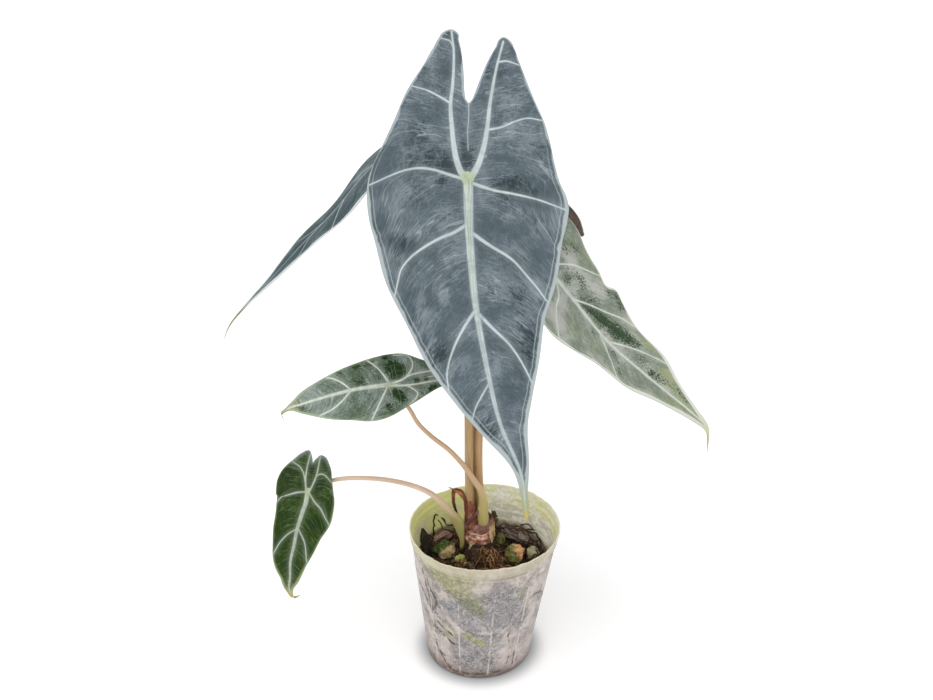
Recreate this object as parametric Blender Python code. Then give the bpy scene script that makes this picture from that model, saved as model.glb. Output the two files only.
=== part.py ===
"""A potted alocasia: five arrow-shaped leaves on a corm, in bark mix, in a thin nursery pot.

The origin is the centre of the pot's underside, +Z is up and -Y is the front.
The named sizes and the points of the plant are in millimetres.
"""
import math
import random

import bmesh
import bpy
import numpy as np
from mathutils import Euler, Matrix, Vector

MM = 0.001
CLEAR = 0.35

# The pot.
POT_HEIGHT = 121.0
BASE_RADIUS = 41.7
RIM_RADIUS = 59.2
WALL = 1.2
FLOOR = 1.5
LEAN = 4.3
RIM_TILT = 0.025
RIM_WAVE = 0.5
BAND_BOTTOM = 110.0
BAND_OUT = 0.8
BAND_STEP = 1.5
RIB_COUNT = 12
RIB_FIRST = math.radians(9.0)
RIB_HALF_ANGLE = math.radians(1.3)
RIB_HEIGHT = 0.6
RIB_BOTTOM = 6.0
RIB_TOP = 91.0
RIB_FADE = 3.0
BASE_ROUND = 3.5
DRAIN_SIDES = 12
DRAIN_COUNT = 5
DRAIN_RADIUS = 3.5
DRAIN_CIRCLE = 24.0

# The bark mix.
SOIL_LEVEL = 84.0
SOIL_GAP = 0.45
SOIL_BUMP = 1.2
MOUND_HEIGHT = 5.0
MOUND_SPREAD = 17.0
SOIL_RINGS = (1.0, 0.85, 0.68, 0.5, 0.32, 0.14)

# The corm, as (x, y, z, radius) up its axis.
CORM = [(1, 9, 64, 8.5), (1, 9, 72, 10.3), (0.5, 8, 84, 11.0), (0.2, 7.5, 94, 11.8), (0, 7, 98, 12.2),
        (0, 7, 101, 11.7), (0, 6.8, 104, 12.1), (0, 6.5, 108, 11.5), (0, 6.3, 111, 11.3), (0, 6, 113, 10.4),
        (0, 6, 117.5, 9.7)]
CORM_STEP = 3.2
CORM_SIDES = 16

# Blades. Each spine runs from the ends of the back lobes to the leaf's tip, and point number
# "joint" is where the stem meets it. Across points to the right, seen on the upper face with the
# tip down. The outlines are (distance along the spine from the joint, distance out from it).
BLADE = 0.9
RIDGE = 1.5
SEAM = 0.6
RIPPLE_SPAN = 30.0
FRONT = dict(
    spine=[(-5, 12, 514), (-8.5, -8, 463), (-9, -30, 417.5), (-7.4, -58, 371), (-0.4, -80, 325.5),
           (11.7, -97, 272), (26, -104, 235), (31.4, -102, 198)],
    across=[(1, 0, 0)] * 8, joint=2, fold=(0.04, 0.04), curl=0.0012, wave=1.6, turns=3.5,
    left=[(-96.6, 14.5), (-93, 19.7), (-83, 26), (-72, 31.4), (-56, 41), (-39, 48.6), (-23, 56.4), (-12, 62),
          (0, 66.3), (12, 67.2), (26, 65.9), (40, 62.3), (64, 57), (89, 47.6), (120, 38), (146, 25),
          (171, 13.5), (195, 5.3), (224, 1.6), (241, 0)],
    left_sinus=[(-96.6, 14.5), (-93.5, 11), (-87, 8), (-78, 5.8), (-66, 3.4), (-49.6, 0)],
    right=[(-94, 20.5), (-90, 25.5), (-79, 31.6), (-64, 38.6), (-49, 45.6), (-39, 50.3), (-24.5, 54.5),
           (-9.4, 57.5), (4, 61.3), (12, 65.2), (19, 66.9), (28, 66), (45, 61.8), (80, 53.6), (102, 43.3),
           (127, 35.5), (155, 24.9), (185, 12.3), (217, 3.3), (241, 0)],
    right_sinus=[(-94, 20.5), (-90, 17.3), (-82, 12.9), (-72, 8.9), (-62, 5.4), (-49.6, 0)])
LEFT = dict(
    spine=[(88, 98, 305), (51, 85, 361), (8, 57, 421), (-18, 53, 433), (-43, 49, 429), (-81, 45, 398),
           (-108, 40, 368.5), (-135, 35, 341.5), (-157, 31, 317.5), (-176, 28, 297), (-189, 26, 281),
           (-195, 24, 266)],
    across=[(0.58, -0.79, 0.17), (0.5, -0.83, 0.2), (0.3, -0.93, 0.2), (0.15, -0.97, 0.2), (0.05, -0.98, 0.18),
            (0.06, -0.985, 0.12), (0.07, -0.985, 0.12), (0.09, -0.985, 0.09), (0.09, -0.985, 0.09),
            (0.15, -0.98, 0), (0.2, -0.97, 0), (0.25, -0.96, 0)],
    joint=2, fold=(0, 0), curl=0.0012, wave=1.5, turns=3,
    left=[(-100, 16), (-96, 21.5), (-86, 28), (-70, 35), (-50, 43), (-30, 49.5), (-10, 54.5), (8, 57.5),
          (25, 58), (50, 55), (85, 49), (115, 42), (153, 30), (190, 18), (221, 8), (249, 2.2), (265, 1.2),
          (274, 0)],
    left_sinus=[(-100, 16), (-96, 11.5), (-86, 7.5), (-70, 4), (-52, 0)],
    right=[(-118, 13), (-114, 18.5), (-102, 26), (-82, 32.5), (-55, 39), (-30, 46), (-10, 52.5), (8, 57.5),
           (25, 58), (50, 55), (85, 49), (115, 42), (153, 30), (190, 18), (221, 8), (249, 2.2), (265, 1.2),
           (274, 0)],
    right_sinus=[(-118, 13), (-114, 8.5), (-102, 5), (-82, 2.5), (-52, 0)])
RIGHT = dict(
    spine=[(4, 30, 412), (22, 19, 380), (46, 8, 340), (68, 2, 313), (95, -4, 282), (117, -10, 263),
           (135, -16, 250), (156, -22, 233), (166, -26, 224), (169, -26, 202)],
    across=[(0.25, 0.96, 0)] * 10, joint=2, fold=(0, 0.25), curl=0.0008, wave=1.2, turns=3,
    left=[(-76, 16), (-73, 21), (-64, 29), (-50, 39), (-32, 48), (-14, 55), (4, 59.5), (22, 59.5),
          (34, 57.3), (46, 50.8), (66, 42), (83, 37), (99, 32.2), (122, 24), (143, 15.2), (160, 8), (176, 3),
          (193, 0)],
    left_sinus=[(-76, 16), (-73, 11.5), (-64, 7.5), (-54, 4), (-42, 0)],
    right=[(-76, 16), (-73, 22), (-64, 32), (-50, 44), (-32, 54), (-10, 60), (10, 60.8), (25, 55.3),
           (39, 49.4), (51, 43.2), (59, 49.5), (71, 46.2), (92, 37.8), (116, 30.5), (141, 16.2), (154, 10.1),
           (168, 5), (178, 3), (193, 0)],
    right_sinus=[(-76, 16), (-73, 11.5), (-64, 7.5), (-54, 4), (-42, 0)])
UPPER_SMALL = dict(
    spine=[(-16, -12, 264), (-36, -21, 264), (-65, -32, 263), (-78, -37, 264), (-92, -42, 264),
           (-103, -46, 263), (-116, -50, 261), (-126, -53, 259), (-136, -56, 256.5), (-140, -57, 253),
           (-139, -57, 249)],
    across=[(0.33, -0.567, -0.70)] * 11, joint=2, fold=(0.04, 0.04), curl=0.0012, wave=0.8, turns=2.5,
    left=[(-45, 5), (-43, 7.5), (-37, 10), (-29.6, 12.8), (-16, 20.9), (-2, 22.6), (12, 20.8), (25.5, 18),
          (37, 15.4), (48, 12.7), (65, 7.2), (75, 1.6), (81, 0.8), (86, 0)],
    left_sinus=[(-45, 5), (-42, 2.6), (-34, 1.2), (-24, 0)],
    right=[(-45, 6), (-43, 7.8), (-35, 9.5), (-18, 15), (-9, 18.1), (8, 24.3), (21, 24.6), (35, 21.1),
           (53, 14.6), (63, 9.1), (75, 1.8), (81, 0.8), (86, 0)],
    right_sinus=[(-45, 6), (-42, 3), (-34, 1.4), (-24, 0)])
LOWER_SMALL = dict(
    spine=[(-125, 2, 190), (-127, -5, 183), (-131, -20, 164), (-132, -24, 158), (-135, -28, 150),
           (-139, -32, 138), (-142, -35, 125), (-145, -38, 113), (-146, -40, 99), (-147, -41, 88),
           (-144, -41, 80.5), (-139.5, -40, 81.5)],
    across=[(0.95, -0.155, -0.163)] * 12, joint=2, fold=(0.04, 0.04), curl=0.0012, wave=0.8, turns=2.5,
    left=[(-31.4, 5.3), (-29.5, 8.5), (-22.6, 15.1), (-14.4, 21.5), (-7, 24.2), (3, 23.9), (23.6, 19.4),
          (37, 17.7), (52.6, 14.9), (65, 11), (76, 5.9), (85.5, 1.8), (91, 0.9), (95.5, 0)],
    left_sinus=[(-31.4, 5.3), (-29, 2.8), (-26, 1.2), (-22.5, 0)],
    right=[(-29.6, 5.5), (-28, 9), (-23.7, 12.6), (-10.3, 17.5), (8.7, 22.3), (14, 23.2), (32, 19.6),
           (45, 16.2), (64, 10.9), (77, 5.3), (85.5, 1.8), (91, 0.9), (95.5, 0)],
    right_sinus=[(-29.6, 5.5), (-27.5, 3), (-25.5, 1.2), (-22.5, 0)])

# How far out from the midrib a blade's columns of points lie, as shares of its half width.
FRONT_COLUMNS = (0, 0.09, 0.3, 0.55, 0.8, 1)
LARGE_COLUMNS = (0, 0.12, 0.45, 0.75, 1)
SMALL_COLUMNS = (0, 0.14, 0.55, 1)

# Leaf stems as (x, y, z, half width, half depth), from the foot up. Each one ends under its blade.
STEM_FRONT = [(-5.8, 3, 118.5, 4.2, 4.0), (-7.2, 0, 140, 3.5, 3.5), (-8, -2.4, 165, 3.3, 3.3),
              (-8.3, -3, 207, 3.2, 3.2), (-9, -1, 280, 2.8, 2.8), (-9.5, -2, 345, 2.5, 2.5),
              (-9.4, -10, 390, 2.3, 2.3), (-9.2, -20, 409, 2.1, 2.1)]
STEM_LEFT = [(-3.5, 12, 118.6, 3.4, 3.4), (-3.8, 8.5, 140, 3.0, 3.0), (-3.4, 5.5, 170, 2.9, 2.9),
             (-3.2, 4.8, 207, 2.8, 2.8), (-2, 14, 300, 2.5, 2.5), (1, 31, 368, 2.3, 2.3),
             (5, 46, 404, 2.1, 2.1)]
STEM_RIGHT = [(4, 8.5, 118.7, 3.4, 3.4), (2, 4.5, 135, 3.0, 3.0), (0.3, 0.8, 158, 2.8, 2.8),
              (-0.1, -2, 207, 2.7, 2.7), (3, -1, 250, 2.6, 2.6), (12, 1.5, 292, 2.4, 2.4),
              (28, 6, 322, 2.2, 2.2)]
STEM_UPPER_SMALL = [(3, -1.5, 118.8, 4.2, 3.6), (2.7, -4, 134, 4.4, 3.4), (3, -7, 148, 3.2, 2.8),
                    (0.8, -9.5, 158.5, 2.6, 2.5), (-4.3, -11.5, 169, 2.3, 2.3), (-11.1, -13.5, 182, 2.0, 2.0),
                    (-22.4, -16, 198, 1.8, 1.8), (-37.1, -20, 214, 1.7, 1.7), (-45.7, -23, 226, 1.6, 1.6),
                    (-51.2, -26, 239, 1.5, 1.5), (-58.1, -28, 251, 1.4, 1.4)]
STEM_LOWER_SMALL = [(-11.3, 3, 82.5, 1.2, 1.2), (-12.8, 1.8, 89, 1.3, 1.3), (-13.9, -1, 98, 1.5, 1.4), (-13.5, -3.2, 106, 1.7, 1.5),
                    (-14.8, -5, 117, 3.2, 1.7), (-16.9, -6.5, 127.5, 4.5, 2.0), (-21.5, -8.5, 136, 3.8, 2.1),
                    (-29.7, -10, 148, 2.5, 2.0), (-37.3, -11, 156.5, 2.2, 2.0), (-45.7, -12, 162, 2.0, 1.9),
                    (-62.4, -13, 168.5, 1.9, 1.8), (-89, -12, 171.3, 1.7, 1.7), (-112, -9.5, 167.8, 1.6, 1.6),
                    (-124, -10.5, 163.5, 1.4, 1.4)]
STEM_END = 0.9
STEM_STEP = 12.0
STEM_SIDES = 8
STRAP = [(-9.6, -2, 122, 1.3, 0.5), (-10.4, -3.2, 136, 1.3, 0.5), (-11.4, -4.2, 147, 1.4, 0.5),
         (-15.3, -4, 154.5, 1.8, 0.6), (-19, -3.4, 154.5, 1.8, 0.6), (-20.3, -2.5, 147.5, 1.5, 0.5),
         (-19.2, -2, 138, 1.3, 0.5), (-17.2, -1.5, 131, 0.8, 0.4)]
SCRAP = [(-41, 10, 82, 1.5, 0.6), (-42.5, 12.5, 91, 4.0, 0.6), (-44, 14.5, 98, 3.6, 0.6),
         (-45.6, 16.5, 105, 1.0, 0.5)]

STRAP_STEP = 5.0
STRAP_SIDES = 6

# Lumps, as (centre, half sizes, turn about Z in degrees, roughness, seed).
LUMPS = {
    "bark_right": ((29, 26, 89.8), (16.5, 6.3, 7.3), -36, 0.16, 3),
    "bark_left": ((-29.5, 27.3, 88.7), (11.5, 5, 6.1), 43, 0.18, 8),
    "stone_right": ((28.9, 0.4, 90), (8.2, 7.6, 7.8), 20, 0.12, 5),
    "stone_left": ((-27, 7, 90), (8.4, 7.4, 7.6), -15, 0.14, 11),
    "stone_small": ((43.2, 5.2, 87.5), (4.6, 4.4, 4.6), 0, 0.12, 21),
    "moss_ball": ((17.8, 19, 90.3), (4.2, 4.0, 6.1), 0, 0.08, 2),
    "moss_clump": ((9.5, 25, 95.8), (3.8, 3.8, 12.4), 10, 0.12, 14),
    "chip_green": ((-15.8, -6.2, 87.5), (3.6, 2.6, 3.0), 25, 0.12, 31),
    "chip_pale": ((-10.5, -12, 86), (2.2, 2.0, 2.4), 0, 0.12, 37),
}

LUMP_FINISH = {"bark": "bark", "stone": "stone", "moss": "moss", "chip": "moss"}

# Colours, roughness.
FINISH = {
    "pot": ((0.60, 0.56, 0.47), 0.45), "soil": ((0.07, 0.045, 0.025), 0.95),
    "corm": ((0.30, 0.13, 0.10), 0.6), "blade": ((0.13, 0.16, 0.18), 0.4),
    "young_blade": ((0.04, 0.09, 0.03), 0.35), "stem": ((0.42, 0.27, 0.15), 0.5),
    "sheath": ((0.20, 0.05, 0.03), 0.7), "bark": ((0.12, 0.08, 0.055), 0.9),
    "moss": ((0.10, 0.13, 0.03), 0.9), "stone": ((0.33, 0.25, 0.13), 0.85),
}


def unit(vectors):
    """Vectors of length one."""
    return vectors / np.linalg.norm(vectors, axis=-1, keepdims=True)


def smooth(keys, at):
    """Values on the smooth curve through keys, whose first column is the place along it."""
    keys = np.asarray(keys, float)
    place, value = keys[:, 0], keys[:, 1:]
    slope = np.gradient(value, place, axis=0)
    at = np.asarray(at, float)
    i = np.clip(np.searchsorted(place, at) - 1, 0, len(place) - 2)
    gap = (place[i + 1] - place[i])[..., None]
    r = (at - place[i])[..., None] / gap
    return ((2 * r**3 - 3 * r**2 + 1) * value[i] + (r**3 - 2 * r**2 + r) * gap * slope[i]
            + (3 * r**2 - 2 * r**3) * value[i + 1] + (r**3 - r**2) * gap * slope[i + 1])


def measured(points, start=0):
    """The points with the distance from point number start in front of each."""
    points = np.array(points, float)
    steps = np.linalg.norm(np.diff(points[:, :3], axis=0), axis=1)
    along = np.concatenate([[0], np.cumsum(steps)])
    return np.column_stack([along - along[start], points])


def material(finish):
    """The Principled material of one finish."""
    found = bpy.data.materials.get(finish)
    if found:
        return found
    made = bpy.data.materials.new(finish)
    made.use_nodes = True
    colour, roughness = FINISH[finish]
    shader = made.node_tree.nodes["Principled BSDF"]
    shader.inputs["Base Color"].default_value = (*colour, 1.0)
    shader.inputs["Roughness"].default_value = roughness
    shader.inputs["Metallic"].default_value = 0.0
    return made


def add_object(name, shape, finish=None, sharp=35):
    """Put a bmesh, in millimetres, into the scene as an object in metres."""
    bmesh.ops.scale(shape, vec=(MM, MM, MM), verts=shape.verts)
    bmesh.ops.triangulate(shape, faces=shape.faces[:])
    bmesh.ops.recalc_face_normals(shape, faces=shape.faces[:])
    mesh = bpy.data.meshes.new(name)
    shape.to_mesh(mesh)
    shape.free()
    mesh.shade_smooth()
    mesh.set_sharp_from_angle(angle=math.radians(sharp))
    made = bpy.data.objects.new(name, mesh)
    bpy.context.scene.collection.objects.link(made)
    if finish:
        mesh.materials.append(material(finish))
    return made


def cut(target, cutter):
    """Take the cutter's shape out of the target."""
    cutter.hide_render = True
    cutter.display_type = "WIRE"
    modifier = target.modifiers.new("cut_" + cutter.name, "BOOLEAN")
    modifier.operation = "DIFFERENCE"
    modifier.solver = "EXACT"
    modifier.object = cutter


def skin(shape, rings):
    """Join rings of points with quads, and close the two ends."""
    rows = [[shape.verts.new(Vector(p)) for p in ring] for ring in rings]
    count = len(rows[0])
    for low, high in zip(rows, rows[1:]):
        for i in range(count):
            j = (i + 1) % count
            shape.faces.new((low[i], low[j], high[j], high[i]))
    shape.faces.new(rows[0][::-1])
    shape.faces.new(rows[-1])


def sweep_rings(keys, step, sides, grow=0.0):
    """Rings round the smooth path through keys of (x, y, z, half width, half depth).

    With grow they stand further out, and the first one lies as far behind the path's start.
    """
    path = measured(keys)
    count = max(2, int(round(path[-1, 0] / step)) + 1)
    at = np.linspace(0, path[-1, 0], count)
    values = smooth(path, at)
    centres, sizes = values[:, :3], values[:, 3:] + grow
    along = unit(np.gradient(centres, axis=0))
    centres[0] -= grow * along[0]
    side = Vector((1, 0, 0))
    rings = []
    for centre, direction, (wide, deep) in zip(centres, along, sizes):
        direction = Vector(direction)
        side = (side - direction * side.dot(direction)).normalized()
        other = direction.cross(side)
        rings.append([Vector(centre) + side * wide * math.cos(a) + other * deep * math.sin(a)
                      for a in (2 * math.pi * i / sides for i in range(sides))])
    return rings


def sweep(name, keys, finish, step, sides, grow=0.0):
    """A solid tube along a path."""
    shape = bmesh.new()
    skin(shape, sweep_rings(keys, step, sides, grow))
    return add_object(name, shape, finish)


class Blade:
    """The curved surface of one blade, from places on its flat outline to points in space."""

    def __init__(self, leaf):
        spine = measured(leaf["spine"], leaf["joint"])
        self.leaf = leaf
        self.spine = spine
        self.across = np.column_stack([spine[:, 0], np.array(leaf["across"], float)])
        self.start = spine[0, 0]
        self.tip = leaf["left"][-1][0]

    def frame(self, s):
        """Spine point, direction to the right and upward normal at distance s."""
        middle = smooth(self.spine, s)
        ahead = unit(smooth(self.spine, s + 0.5) - smooth(self.spine, s - 0.5))
        right = smooth(self.across, s)
        right = unit(right - np.sum(right * ahead, -1, keepdims=True) * ahead)
        return middle, right, np.cross(ahead, right)

    def width(self, s, side, edge=""):
        """Distance from the spine to the outer edge, or to the sinus edge, at distance s."""
        keys = self.leaf[side + edge]
        return np.maximum(smooth(keys, np.clip(s, keys[0][0], keys[-1][0]))[..., 0], 0)

    def point(self, s, t, ripple):
        """The point at distance s along and t out (negative is left), with a share of the edge's ripple."""
        middle, right, up = self.frame(s)
        leaf = self.leaf
        fold = np.where(t < 0, leaf["fold"][0], leaf["fold"][1])
        turn = 2 * math.pi * leaf["turns"] * s / self.tip
        wave = leaf["wave"] * ripple * np.sin(turn + np.where(t < 0, 0.6, 2.4))
        height = fold * np.abs(t) - leaf["curl"] * t * t + wave
        return middle + right * t[..., None] + up * height[..., None]

    def grid(self, side, lobe_rows, rows, columns):
        """Points of one half, from the end of its lobe to the tip; row, column, xyz."""
        start = self.leaf[side][0][0]
        sinus = self.leaf[side + "_sinus"][-1][0]
        lobe = start + (sinus - start) * (1 - np.cos(np.linspace(0, math.pi / 2, lobe_rows + 1)))
        body = np.linspace(sinus, self.tip, rows + 1)[1:]
        s = np.concatenate([lobe, body])
        inner = np.where(s < sinus, self.width(s, side, "_sinus"), 0)
        span = np.maximum(self.width(s, side) - inner, 0)[:, None]
        share = np.array(columns)[None, :]
        t = inner[:, None] + span * share
        sign = -1 if side == "left" else 1
        s = np.repeat(s[:, None], len(columns), axis=1)
        return self.point(s, sign * t, share**3 * np.minimum(span / RIPPLE_SPAN, 1)**2)


def blade(name, leaf, finish, lobe_rows, rows, columns):
    """One blade: its upper face is on the curved surface, and it thickens along the midrib below."""
    surface = Blade(leaf)
    shape = bmesh.new()
    for side in ("left", "right"):
        points = surface.grid(side, lobe_rows, rows, columns)
        verts = [[shape.verts.new(Vector(p)) for p in row] for row in points]
        for low, high in zip(verts, verts[1:]):
            for i in range(len(low) - 1):
                corners = (low[i], high[i], high[i + 1], low[i + 1])
                shape.faces.new(corners if side == "right" else corners[::-1])
    bmesh.ops.triangulate(shape, faces=shape.faces[:], quad_method="SHORT_EDGE")
    bmesh.ops.remove_doubles(shape, verts=shape.verts[:], dist=0.01)
    bmesh.ops.dissolve_degenerate(shape, edges=shape.edges[:], dist=0.01)
    bmesh.ops.scale(shape, vec=(MM, MM, MM), verts=shape.verts)
    mesh = bpy.data.meshes.new(name)
    shape.to_mesh(mesh)
    shape.free()
    mesh.shade_smooth()
    made = bpy.data.objects.new(name, mesh)
    bpy.context.scene.collection.objects.link(made)
    mesh.materials.append(material(finish))

    thick = made.vertex_groups.new(name="thickness")
    along = np.linspace(leaf["left_sinus"][-1][0], surface.tip, 200)
    spine = surface.frame(along)[0] * MM
    for vertex in mesh.vertices:
        gaps = np.linalg.norm(spine - np.array(vertex.co), axis=1)
        nearest = int(np.argmin(gaps))
        on_spine = gaps[nearest] < SEAM * MM
        fade = 1 - along[nearest] / surface.tip if along[nearest] > 0 else 1.0
        thick.add([vertex.index], fade if on_spine else 0.0, "REPLACE")
    solid = made.modifiers.new("thickness", "SOLIDIFY")
    solid.thickness = (BLADE + RIDGE) * MM
    solid.offset = -1
    solid.vertex_group = "thickness"
    solid.thickness_vertex_group = BLADE / (BLADE + RIDGE)
    return surface


def stem(name, keys, surface):
    """A leaf stem, whose flat end lies just under the joint of its blade."""
    middle, _, up = surface.frame(np.array([0.0]))
    middle, up = middle[0], up[0]
    rise = np.dot(unit(middle - np.array(keys[-1][:3])), up)
    rim = STEM_END * math.sqrt(1 - min(rise**2, 1))
    end = middle - up * (BLADE + RIDGE + CLEAR + rim)
    keys = keys + [(*end, STEM_END, STEM_END)]
    sweep(name, keys, "stem", STEM_STEP, STEM_SIDES)
    return keys


def taper(z):
    """The pot's outer radius at a height, without its ribs."""
    radius = BASE_RADIUS + (RIM_RADIUS - BASE_RADIUS) * z / POT_HEIGHT
    return radius + BAND_OUT * min(max((z - BAND_BOTTOM) / BAND_STEP, 0), 1)


def pot_point(angle, z, radius):
    """A point of the pot, which leans and tilts a little and has a wavy rim."""
    high = z / POT_HEIGHT
    radius += RIM_WAVE * math.sin(2 * angle + 0.5) * high**3 * min(radius / BASE_RADIUS, 1)
    x = radius * math.sin(angle)
    y = -radius * math.cos(angle)
    lift = RIM_TILT * x * high**3 + RIM_WAVE * math.sin(3 * angle + 1) * high**8
    return Vector((x + LEAN * high, y, z + lift))


def pot_angles():
    """The angles of the pot's columns, and how much of a rib each one carries."""
    step = 2 * math.pi / RIB_COUNT
    columns = []
    for i in range(RIB_COUNT):
        middle = RIB_FIRST + step * i
        columns += [(middle - RIB_HALF_ANGLE, 0), (middle, 1), (middle + RIB_HALF_ANGLE, 0),
                    (middle + step * 0.36, 0), (middle + step * 0.64, 0)]
    return columns


def pot():
    """The thin pot, with its ribs, rim band and drain holes."""
    columns = pot_angles()
    band_top = BAND_BOTTOM + BAND_STEP
    flat = BASE_RADIUS - 0.9 * BASE_ROUND
    outside = [(0, flat, 0), (0.3 * BASE_ROUND, BASE_RADIUS - 0.3 * BASE_ROUND, 0), (BASE_ROUND, taper(BASE_ROUND), 0)]
    outside += [(RIB_BOTTOM, taper(RIB_BOTTOM), 1), (RIB_TOP, taper(RIB_TOP), 1)]
    outside += [(z, taper(z), 0) for z in (RIB_TOP + RIB_FADE, BAND_BOTTOM, band_top, POT_HEIGHT)]
    inside = [(z, taper(z) - WALL, 0) for z in (POT_HEIGHT, band_top, BAND_BOTTOM, SOIL_LEVEL, FLOOR + BASE_ROUND)]
    inside += [(FLOOR, flat, 0)]
    shape = bmesh.new()
    skin(shape, [[pot_point(angle, z, radius + RIB_HEIGHT * rib * on_rib) for angle, on_rib in columns]
                 for z, radius, rib in outside + inside])
    body = add_object("pot", shape, "pot")
    for i in range(DRAIN_COUNT):
        angle = 2 * math.pi * (i + 0.5) / DRAIN_COUNT
        hole = bmesh.new()
        place = Matrix.Translation((DRAIN_CIRCLE * math.sin(angle), DRAIN_CIRCLE * math.cos(angle), 0))
        bmesh.ops.create_cone(hole, cap_ends=True, segments=DRAIN_SIDES, radius1=DRAIN_RADIUS,
                              radius2=DRAIN_RADIUS, depth=8 * FLOOR, matrix=place)
        cut(body, add_object(f"drain_cutter_{i}", hole))


def soil_height(x, y):
    """The height of the uneven top of the bark mix."""
    mound = MOUND_HEIGHT * math.exp(-((x - CORM[4][0])**2 + (y - CORM[4][1])**2) / MOUND_SPREAD**2)
    bumps = math.sin(0.31 * x + 1) * math.sin(0.27 * y + 2) + 0.6 * math.sin(0.53 * x - 0.41 * y)
    return SOIL_LEVEL + mound + SOIL_BUMP * bumps


def soil():
    """The root ball, which fills the pot to the soil level."""
    columns = [angle for angle, _ in pot_angles()]
    bottom = FLOOR + CLEAR
    low = bottom + BASE_ROUND
    wall_gap = WALL + SOIL_GAP
    rings = [[pot_point(a, bottom, BASE_RADIUS - 1.4 * BASE_ROUND) for a in columns],
             [pot_point(a, low, taper(low) - wall_gap) for a in columns]]
    middle = Vector((LEAN * SOIL_LEVEL / POT_HEIGHT, 0, SOIL_LEVEL))
    for share in SOIL_RINGS:
        ring = []
        for a in columns:
            edge = pot_point(a, SOIL_LEVEL, taper(SOIL_LEVEL) - wall_gap)
            spot = middle.lerp(edge, share)
            spot.z = soil_height(spot.x, spot.y) if share < 1 else SOIL_LEVEL
            ring.append(spot)
        rings.append(ring)
    shape = bmesh.new()
    skin(shape, rings)
    return add_object("soil", shape, "soil")


def lump(name, finish, grow=0.0):
    """A rough lump; grow makes its cutter."""
    centre, half, turn, rough, seed = LUMPS[name]
    shape = bmesh.new()
    bmesh.ops.create_icosphere(shape, subdivisions=2, radius=1)
    dice = random.Random(seed)
    waves = [(Vector([dice.uniform(-2.6, 2.6) for _ in range(3)]), dice.uniform(0, 6)) for _ in range(5)]
    for vertex in shape.verts:
        way = vertex.co.normalized()
        bump = sum(math.sin(wave.dot(way) + phase) for wave, phase in waves) / len(waves)
        spread = 1 + rough * bump
        vertex.co = Vector([c * (h * spread + grow) for c, h in zip(way, half)])
    turned = Euler((0, 0, math.radians(turn))).to_matrix()
    bmesh.ops.rotate(shape, verts=shape.verts, matrix=turned)
    bmesh.ops.translate(shape, verts=shape.verts, vec=centre)
    return add_object(name if finish else name + "_cutter", shape, finish)


def corm(name="corm", finish="corm", grow=0.0):
    """The ringed corm; grow makes its cutter."""
    return sweep(name, [(*key, key[3]) for key in CORM], finish, CORM_STEP, CORM_SIDES, grow)


def pockets(ground, stem_keys):
    """Make room in the bark mix for what stands in it."""
    cut(ground, corm("corm_cutter", None, CLEAR))
    cut(ground, sweep("stem_cutter", stem_keys, None, STEM_STEP, STEM_SIDES, CLEAR))
    cut(ground, sweep("scrap_cutter", SCRAP, None, STRAP_STEP, STRAP_SIDES, CLEAR))
    for name in LUMPS:
        cut(ground, lump(name, None, CLEAR))


def build():
    """Every piece of the plant and its pot."""
    for old in list(bpy.data.objects):
        bpy.data.objects.remove(old)
    pot()
    corm()
    front = blade("blade_front", FRONT, "blade", 8, 24, FRONT_COLUMNS)
    left = blade("blade_left", LEFT, "blade", 7, 20, LARGE_COLUMNS)
    right = blade("blade_right", RIGHT, "blade", 7, 20, LARGE_COLUMNS)
    upper = blade("blade_upper_small", UPPER_SMALL, "young_blade", 6, 16, SMALL_COLUMNS)
    lower = blade("blade_lower_small", LOWER_SMALL, "young_blade", 5, 18, SMALL_COLUMNS)
    stem("petiole_front", STEM_FRONT, front)
    stem("petiole_left", STEM_LEFT, left)
    stem("petiole_right", STEM_RIGHT, right)
    stem("petiole_upper_small", STEM_UPPER_SMALL, upper)
    in_the_mix = stem("petiole_lower_small", STEM_LOWER_SMALL, lower)
    sweep("dry_sheath", STRAP, "sheath", STRAP_STEP, STRAP_SIDES)
    sweep("leaf_scrap", SCRAP, "bark", STRAP_STEP, STRAP_SIDES)
    for name in LUMPS:
        lump(name, LUMP_FINISH[name.split("_")[0]])
    pockets(soil(), in_the_mix)


build()
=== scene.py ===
"""The looks of a potted alocasia: veined leaves, stalks, corm, bark mix and a stained nursery pot.

The frame is the part's own: the origin is the centre of the pot's underside, +Z is up and -Y is
the front. Sizes and points are in millimetres, and meshes are made in metres.
"""

import math
import random

import bmesh
import bpy
import numpy as np
from mathutils import Matrix, Vector, noise


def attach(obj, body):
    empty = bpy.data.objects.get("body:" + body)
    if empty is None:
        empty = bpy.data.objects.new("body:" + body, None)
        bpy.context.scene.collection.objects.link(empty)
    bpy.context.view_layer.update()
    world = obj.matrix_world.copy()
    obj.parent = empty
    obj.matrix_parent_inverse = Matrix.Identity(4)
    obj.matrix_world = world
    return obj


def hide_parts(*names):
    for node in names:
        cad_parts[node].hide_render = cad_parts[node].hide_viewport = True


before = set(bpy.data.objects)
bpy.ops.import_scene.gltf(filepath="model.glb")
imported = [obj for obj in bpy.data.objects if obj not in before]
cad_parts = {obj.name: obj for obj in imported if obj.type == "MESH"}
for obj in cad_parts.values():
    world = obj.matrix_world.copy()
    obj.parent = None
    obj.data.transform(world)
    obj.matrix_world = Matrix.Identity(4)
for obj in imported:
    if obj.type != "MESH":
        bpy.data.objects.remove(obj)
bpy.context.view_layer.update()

MM = 0.001
BODY = "root"
IMAGE_WIDTH = 933

# The camera, as the photograph was taken: place, pitch below level, and focal length in pixels.
CAMERA = (-10.0, -821.2, 688.2)
PITCH = 26.72
FOCAL = 1250.0
SENSOR = 36.0

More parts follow.
